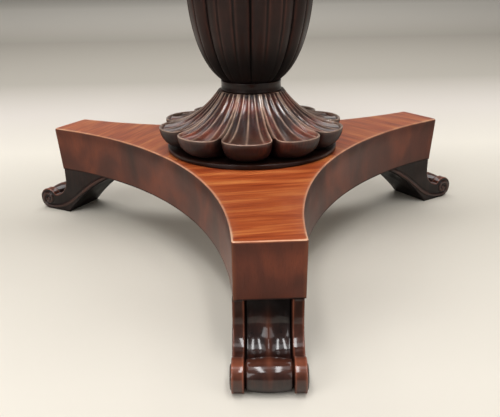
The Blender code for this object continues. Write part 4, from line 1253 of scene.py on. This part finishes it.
@dataclass
class Baluster:
    """Lobed vase with its neck ring below, and the ring and flared capital above."""

    bottom: float = 0.1635
    height: float = 0.350
    foot: float = 0.0280
    foot_handle: tuple[float, float] = (0.0175, 0.012)
    belly: float = 0.0580
    belly_height: float = 0.088
    belly_handles: tuple[float, float] = (0.042, 0.095)
    top: float = 0.0225
    top_handle: float = 0.130
    turn: float = radians(-92.5)
    lobes: int = 8
    reeds: int = 3
    valley: float = 0.0048
    groove: float = 0.0010
    valley_power: float = 2.8
    groove_power: float = 3.0
    reed_rub_and_glint: float = 0.6
    around: int = 48
    tenon: float = 0.018
    tenon_end: float = 0.0528
    bore: float = 0.0183
    upper_tenon: float = 0.013
    upper_end: float = 0.6754
    upper_bore: float = 0.0133
    ring: tuple[float, float, float] = (0.0285, 0.1537, 0.0095)
    ring_edge: float = 0.0010
    ring_hollow: float = 0.0004
    upper_ring: tuple[float, float, float] = (0.0310, 0.5138, 0.0120)
    upper_ring_steps: int = 128
    capital: tuple[float, float, float, float] = (0.0245, 0.0580, 0.5261, 0.128)
    fillet: float = 0.006
    capital_handle: float = 0.043
    scribed: tuple[float, float] = (0.006, 0.010)
    scribe_depth: float = 0.0005
    scribe_width: float = 0.0006
    turning_steps: int = 160

    def outline(self) -> np.ndarray:
        """Give the vase's swelling side as two curves that meet upright at the belly.

        Returns:
            Rows of radius and height above the foot.
        """
        belly = (self.belly, self.belly_height)
        below, above = self.belly_handles
        lower = bezier((self.foot, 0.0), (self.foot + self.foot_handle[0], self.foot_handle[1]),
                       (self.belly, self.belly_height - below), belly, 60)
        upper = bezier(belly, (self.belly, self.belly_height + above),
                       (self.top, self.height - self.top_handle), (self.top, self.height), 80)
        return np.concatenate([lower, upper[1:]])

    def vase_patch(self) -> Patch:
        """Work out the vase: its outline less the lobes' cuts, which follow the radius.

        For n lobes of m reeds the cut is valley (1 - |sin(n a / 2)|)^p + groove (1 - |sin(m n a / 2)|)^q.

        Returns:
            The closed grid, tenons included.
        """
        angle = np.linspace(0.0, tau, self.lobes * self.around, endpoint=False)
        between = (1 - np.abs(np.sin(angle * self.lobes / 2))) ** self.valley_power
        lines = (1 - np.abs(np.sin(angle * self.lobes * self.reeds / 2))) ** self.groove_power
        cut = self.valley * between + self.groove * lines
        side = self.outline()
        low = np.array([(0.0, self.tenon_end), (self.tenon, self.tenon_end), (self.tenon, self.bottom)])
        high = np.array([(self.upper_tenon, self.bottom + self.height), (self.upper_tenon, self.upper_end),
                         (0.0, self.upper_end)])
        profile = np.concatenate([low, side + (0.0, self.bottom), high])
        swelling = np.zeros((len(profile), 1))
        swelling[len(low):-len(high)] = 1.0
        r = profile[:, :1] * (1 - swelling * cut / self.belly)
        z = profile[:, 1:]
        foot = smooth_step(self.bottom + 0.045, self.bottom + 0.015, z)
        # Rubbing beside the grooves, pale enough to paint the highlights on the reeds
        wear = self.reed_rub_and_glint * swelling * (1 - foot) * hump(lines, 0.25, 0.2)
        # Painted shade in the valleys and grooves and over the vase's foot
        soil = swelling * np.maximum(between + 0.4 * lines, 0.8 * foot)
        turn = angle + self.turn
        return Patch(grid(r * np.cos(turn), r * np.sin(turn), z), wear, soil, closed=True)

    def band(self) -> np.ndarray:
        """Give the section of the plain neck ring: eased edges, and a face hollowed by half a sine.

        Returns:
            Rows of radius and height.
        """
        radius, bottom, height = self.ring
        top = bottom + height
        upper = arris(radius, top, self.ring_edge, 5)
        lower = upper[::-1] * (1.0, -1.0) + (0.0, bottom + top)
        level = np.linspace(0.0, 1.0, 14)[1:-1]
        face_z = top - self.ring_edge - (height - 2 * self.ring_edge) * level
        face = grid(radius - self.ring_hollow * np.sin(pi * level), face_z)
        inner = [[self.bore, bottom], [self.bore, top]]
        return np.concatenate([inner[1:], upper, face, lower, inner])

    def torus(self) -> np.ndarray:
        """Give the section of the upper ring, whose face is half a circle.

        Returns:
            Rows of radius and height.
        """
        radius, bottom, height = self.upper_ring
        angle = np.linspace(pi / 2, -pi / 2, 24)
        half = height / 2
        face = grid(radius - half + half * np.cos(angle), bottom + half + half * np.sin(angle))
        inner = [[self.upper_bore, bottom], [self.upper_bore, bottom + height]]
        return np.concatenate([inner[1:], face, inner])

    def flare(self) -> np.ndarray:
        """Give the capital's section: a curve that flares below a square fillet, with scribed lines.

        Returns:
            Rows of radius and height.
        """
        neck, reach, bottom, height = self.capital
        top = bottom + height
        lip = top - self.fillet
        swell = reach - self.fillet
        bend = lip - self.capital_handle
        curve = bezier((swell, lip), (swell, bend), (neck, bend), (neck, bottom), 90)
        for line in self.scribed:
            curve[:, 0] -= self.scribe_depth * hump(curve[:, 1], bottom + line, self.scribe_width)
        fillet = np.array([[self.upper_bore, top], [reach - 0.0006, top], [reach - 0.0002, top - 0.0002],
                           [reach, top - 0.0006], [reach, lip + 0.0006], [reach - 0.0006, lip]])
        return np.concatenate([fillet, curve, [[self.upper_bore, bottom], [self.upper_bore, top]]])

    def build(self) -> None:
        """Stack the ring, the vase, the upper ring and the capital."""
        set_piece("neck_turning", [lathe(self.band(), self.turning_steps)], TURNED, "neck_ring")
        set_piece("vase_carving", [self.vase_patch()], VASE, "lobed_vase")
        set_piece("upper_ring_turning", [lathe(self.torus(), self.upper_ring_steps)], TURNED, "upper_ring")
        set_piece("capital_turning", [lathe(self.flare(), self.turning_steps)], TURNED, "capital")
        dress_node(BEECH, "tenon_wedge")


@dataclass
class TableTop:
    """Round top with a half-round edge under a small step, on bearers and a block."""

    radius: float = 0.300
    bottom: float = 0.6767
    thickness: float = 0.022
    drop: float = 0.004
    step: float = 0.003
    edge: float = 0.001
    head: float = 0.0042
    head_depth: float = 0.012
    slot: float = 0.0011
    block_face: float = 0.6544
    block_place: float = 0.057
    bearer_face: float = 0.6564
    bearer_place: float = 0.145
    bearer_pitch: float = 0.180
    turning_steps: int = 256
    crown_rub: float = 0.7
    roll_rub: float = 0.4

    def section(self) -> tuple[np.ndarray, np.ndarray]:
        """Give the top's section from the middle over a small step and a half round to the underside.

        Returns:
            Rows of radius and height, and how worn each point is.
        """
        top = self.bottom + self.thickness
        roll = (self.thickness - self.drop) / 2
        shoulder = self.radius - roll - self.step
        flat = grid(np.linspace(0.0, shoulder - self.edge, 30)[:-1], top)
        crown = arris(shoulder, top, self.edge, 4)
        fillet = np.array([[0.0, 0.0008], [0.0003, 0.0002], [0.0012, 0.0]])
        sill = fillet + (shoulder, top - self.drop)
        angle = np.linspace(pi / 2, -pi / 2, 32)
        middle = (self.radius - roll, self.bottom + roll)
        round_edge = middle + roll * grid(np.cos(angle), np.sin(angle))
        under = grid(np.linspace(self.radius - roll - 0.002, 0.0, 20), self.bottom)
        wear = [np.zeros(len(flat)), np.full(len(crown), self.crown_rub), np.zeros(len(sill)),
                self.roll_rub * hump(angle, 0.0, 0.9), np.zeros(len(under))]
        return np.concatenate([flat, crown, sill, round_edge, under]), np.concatenate(wear)

    def screw_patches(self, x: float, y: float, z: float) -> list[Patch]:
        """Work out a slotted screw head as a disc of u by v, sunk where u lies in the slot.

        The disc is x = R u, y = R v sqrt(1 - u^2); its back runs up inside the wood to a point.

        Args:
            x: Place of the screw.
            y: Place of the screw.
            z: Level of the head's face.

        Returns:
            The face and the two halves of the back, closed at the screw's point.
        """
        u = np.sort(np.concatenate([np.linspace(-1.0, 1.0, 17), [-0.16, -0.15, 0.15, 0.16]]))[:, None]
        v = np.linspace(-1.0, 1.0, 13)[None, :]
        depth = np.where(np.abs(u) < 0.155, self.slot, 0.0)
        face = grid(x + self.head * u, y + self.head * v * np.sqrt(1 - u**2), z + depth)
        tip = np.broadcast_to(np.array([x, y, z + self.head_depth]), face[:, 0].shape)
        return [Patch(face), *(Patch(np.stack([face[:, side], tip], axis=1)) for side in (0, -1))]

    def build(self) -> None:
        """Make the top and its screws, and finish the block and bearers."""
        profile, wear = self.section()
        set_piece("moulded_top", [lathe(profile, self.turning_steps, wear)], BOARD, "table_top")
        out, pitch = self.bearer_place, self.bearer_pitch
        spots = (-self.block_place, self.block_place)
        screws = {("block", "block"): [(x, y, self.block_face) for x in spots for y in spots]}
        for label, x in (("left", -out), ("right", out)):
            screws[label, f"bearer_{label}"] = [(x, y, self.bearer_face) for y in (-pitch, 0.0, pitch)]
        for (label, node), places in screws.items():
            for number, place in enumerate(places, 1):
                set_piece(f"slotted_head_{label}_{number}", self.screw_patches(*place), IRON,
                          f"{node}_screw_{number}")
        dress_node(PINE, "bearer_block", "bearer_left", "bearer_right")


@dataclass(frozen=True)
class Lamp:
    """A rectangular soft lamp.

    Attributes:
        name: Name of the lamp.
        place: Where it hangs.
        target: Point that it faces.
        size: Its width and height.
        power: Its power in watts.
        spread: How wide its light fans out, in degrees.
    """

    name: str
    place: tuple[float, float, float]
    target: tuple[float, float, float]
    size: tuple[float, float]
    power: float
    spread: float = 180.0

    def hang(self) -> None:
        """Add the lamp to the scene, unseen by the camera."""
        light = bpy.data.lights.new(self.name, "AREA")
        light.shape = "RECTANGLE"
        light.size, light.size_y = self.size
        light.energy = self.power
        light.spread = radians(self.spread)
        holder = bpy.data.objects.new(self.name, light)
        holder.location = self.place
        beam = Vector(self.target) - Vector(self.place)
        holder.rotation_euler = beam.to_track_quat("-Z", "Y").to_euler()
        holder.visible_camera = False
        bpy.context.scene.collection.objects.link(holder)


# Two long ceiling lamps in front, which draw crisp streaks in the flutes and on the toes; two low
# windows, which fill the hollows; an overhead lamp, whose light the top keeps off the floor round the
# base; three small lamps under the top's front edge, which pick out the collar's ribs; and a wide lamp
# over the far floor
LAMPS = (
    Lamp("ceiling_left", (-0.50, -1.30, 2.40), (-0.50, -1.30, 0.0), (0.26, 1.90), 20.0),
    Lamp("ceiling_right", (0.42, -1.30, 2.40), (0.42, -1.30, 0.0), (0.26, 1.90), 20.0),
    Lamp("window_left", (-1.5, -1.6, 1.0), (0.0, 0.0, 0.1), (1.6, 1.2), 22.5),
    Lamp("window_right", (1.5, -1.6, 1.0), (0.0, 0.0, 0.1), (1.6, 1.2), 12.0),
    Lamp("overhead", (0.0, 0.0, 2.6), (0.0, 0.0, 0.0), (2.4, 2.4), 25.0),
    Lamp("collar_left", (-0.15, -0.20, 0.60), (0.0, -0.04, 0.13), (0.09, 0.09), 0.017, 26.0),
    Lamp("collar_right", (0.15, -0.20, 0.60), (0.0, -0.04, 0.13), (0.09, 0.09), 0.017, 26.0),
    Lamp("collar_middle", (0.01, -0.20, 0.60), (0.0, -0.04, 0.13), (0.09, 0.09), 0.013, 26.0),
    Lamp("far_ceiling", (0.0, 1.2, 2.4), (0.0, 1.2, 0.0), (3.0, 2.0), 47.0),
)


@dataclass
class Studio:
    """Pale floor, soft lamps and the camera where the photograph was taken."""

    eye: tuple[float, float, float] = (-0.02861, -0.60629, 0.26286)
    yaw: float = 0.0426
    pitch: float = 0.3634
    roll: float = -0.0149
    lens: float = 46.011
    sensor: float = 36.0
    clip: float = 0.01
    floor_reach: float = 8.0
    near: float = -0.6
    far: float = 4.0
    # Floor tones by depth: darker next to the camera, a band of painted shadow of the top under the table,
    # painted falloff of light towards the back, and pale again at the far end
    floor_tones_and_shading: tuple[tuple[float, str], ...] = (
        (-0.60, "C8C2B6"), (-0.25, "E8E2D6"), (-0.1, "E0DACE"), (0.06, "CEC8BC"), (0.35, "E4DED2"),
        (0.62, "D2CBC3"), (0.97, "ACA69C"), (1.9, "A29C92"), (4.0, "FFF9EE"),
    )
    paper_roughness: float = 0.9
    paper_specular: float = 0.1
    room: str = "B8B6B2"
    room_strength: float = 0.32
    wall: str = "EFEAE2"
    wall_strength: float = 0.7
    wall_edges: tuple[float, float] = (0.1, 0.6)
    wall_heights: tuple[float, float] = (0.24, 0.10)

    def set_camera(self) -> None:
        """Aim the camera: yaw about Z, pitch down from level, then roll about its own line of sight."""
        line = Vector((sin(self.yaw) * cos(self.pitch), cos(self.yaw) * cos(self.pitch), -sin(self.pitch)))
        right = Vector((cos(self.yaw), -sin(self.yaw), 0.0))
        up = right.cross(line)
        side = cos(self.roll) * right + sin(self.roll) * up
        head = cos(self.roll) * up - sin(self.roll) * right
        camera = bpy.data.cameras.new("camera")
        camera.lens = self.lens
        camera.sensor_width = self.sensor
        camera.clip_start = self.clip
        holder = bpy.data.objects.new("camera", camera)
        turned = Matrix((side, head, -line)).transposed().to_4x4()
        holder.matrix_world = Matrix.Translation(self.eye) @ turned
        bpy.context.scene.collection.objects.link(holder)
        bpy.context.scene.camera = holder

    def floor_material(self) -> bpy.types.Material:
        """Make a matt paper whose tone changes with depth, painting its shading, and which is clear from
        below.

        Returns:
            The material.
        """
        material, tree, shader = new_material("matt_paper_painted_shading")
        place = add_node(tree, "ShaderNodeTexCoord").outputs["Object"]
        depth = add_node(tree, "ShaderNodeSeparateXYZ", None, {0: place}).outputs[1]
        share = add_node(tree, "ShaderNodeMapRange", None, {0: depth, 1: self.near, 2: self.far}).outputs[0]
        span = self.far - self.near
        stops = [((y - self.near) / span, linear(tone)) for y, tone in self.floor_tones_and_shading]
        tone = add_node(tree, "ShaderNodeValToRGB", {"stops": stops}, {0: share}).outputs[0]
        tree.links.new(tone, shader.inputs["Base Color"])
        shader.inputs["Roughness"].default_value = self.paper_roughness
        shader.inputs["Specular IOR Level"].default_value = self.paper_specular
        under = add_node(tree, "ShaderNodeNewGeometry").outputs["Backfacing"]
        clear = add_node(tree, "ShaderNodeBsdfTransparent").outputs[0]
        mixed = add_node(tree, "ShaderNodeMixShader", None, {0: under, 1: shader.outputs[0], 2: clear})
        tree.links.new(mixed.outputs[0], tree.nodes["Material Output"].inputs["Surface"])
        return material

    def lay_floor(self) -> None:
        """Lay the pale floor, whose material paints its shading, as one square grid."""
        reach = np.linspace(-self.floor_reach, self.floor_reach, 9)
        sheet = Patch(grid(reach, reach[:, None], 0.0))
        mesh = bpy.data.meshes.new("studio_floor")
        mesh.from_pydata(sheet.points.reshape(-1, 3), [], sheet.quads(0))
        mesh.materials.append(self.floor_material())
        floor = bpy.data.objects.new("studio_floor", mesh)
        bpy.context.scene.collection.objects.link(floor)

    def set_world(self) -> None:
        """Light the room with a dim warm grey, and a pale low wall behind the table."""
        world = bpy.data.worlds.new("studio")
        world.use_nodes = True
        tree = world.node_tree
        room = tree.nodes["Background"]
        room.inputs["Color"].default_value = linear(self.room)
        room.inputs["Strength"].default_value = self.room_strength
        wall = add_node(tree, "ShaderNodeBackground", None,
                        {"Color": linear(self.wall), "Strength": self.wall_strength}).outputs[0]
        toward = add_node(tree, "ShaderNodeTexCoord").outputs["Generated"]
        split = add_node(tree, "ShaderNodeSeparateXYZ", None, {0: toward})
        shares = [add_node(tree, "ShaderNodeMapRange", None, {0: axis, 1: start, 2: end}).outputs[0]
                  for axis, (start, end) in zip(split.outputs[1:], (self.wall_edges, self.wall_heights))]
        share = add_node(tree, "ShaderNodeMath", {"operation": "MULTIPLY"},
                         dict(enumerate(shares))).outputs[0]
        mixed = add_node(tree, "ShaderNodeMixShader", None, {0: share, 1: room.outputs[0], 2: wall})
        tree.links.new(mixed.outputs[0], tree.nodes["World Output"].inputs["Surface"])
        bpy.context.scene.world = world

    def build(self) -> None:
        """Set the camera, the lamps, the floor and the room."""
        self.set_camera()
        self.lay_floor()
        self.set_world()
        for lamp in LAMPS:
            lamp.hang()
        bpy.context.scene.view_settings.view_transform = "Standard"


def main() -> None:
    """Build the table's looks from the feet up, then the studio."""
    logging.basicConfig(level=logging.INFO, format="%(message)s")
    for assembly in (Platform(), ScrollFoot(), PetalCollar(), Baluster(), TableTop()):
        assembly.build()
        LOG.info("%s is built", type(assembly).__name__)
    Studio().build()


if __name__ == "__main__":
    main()
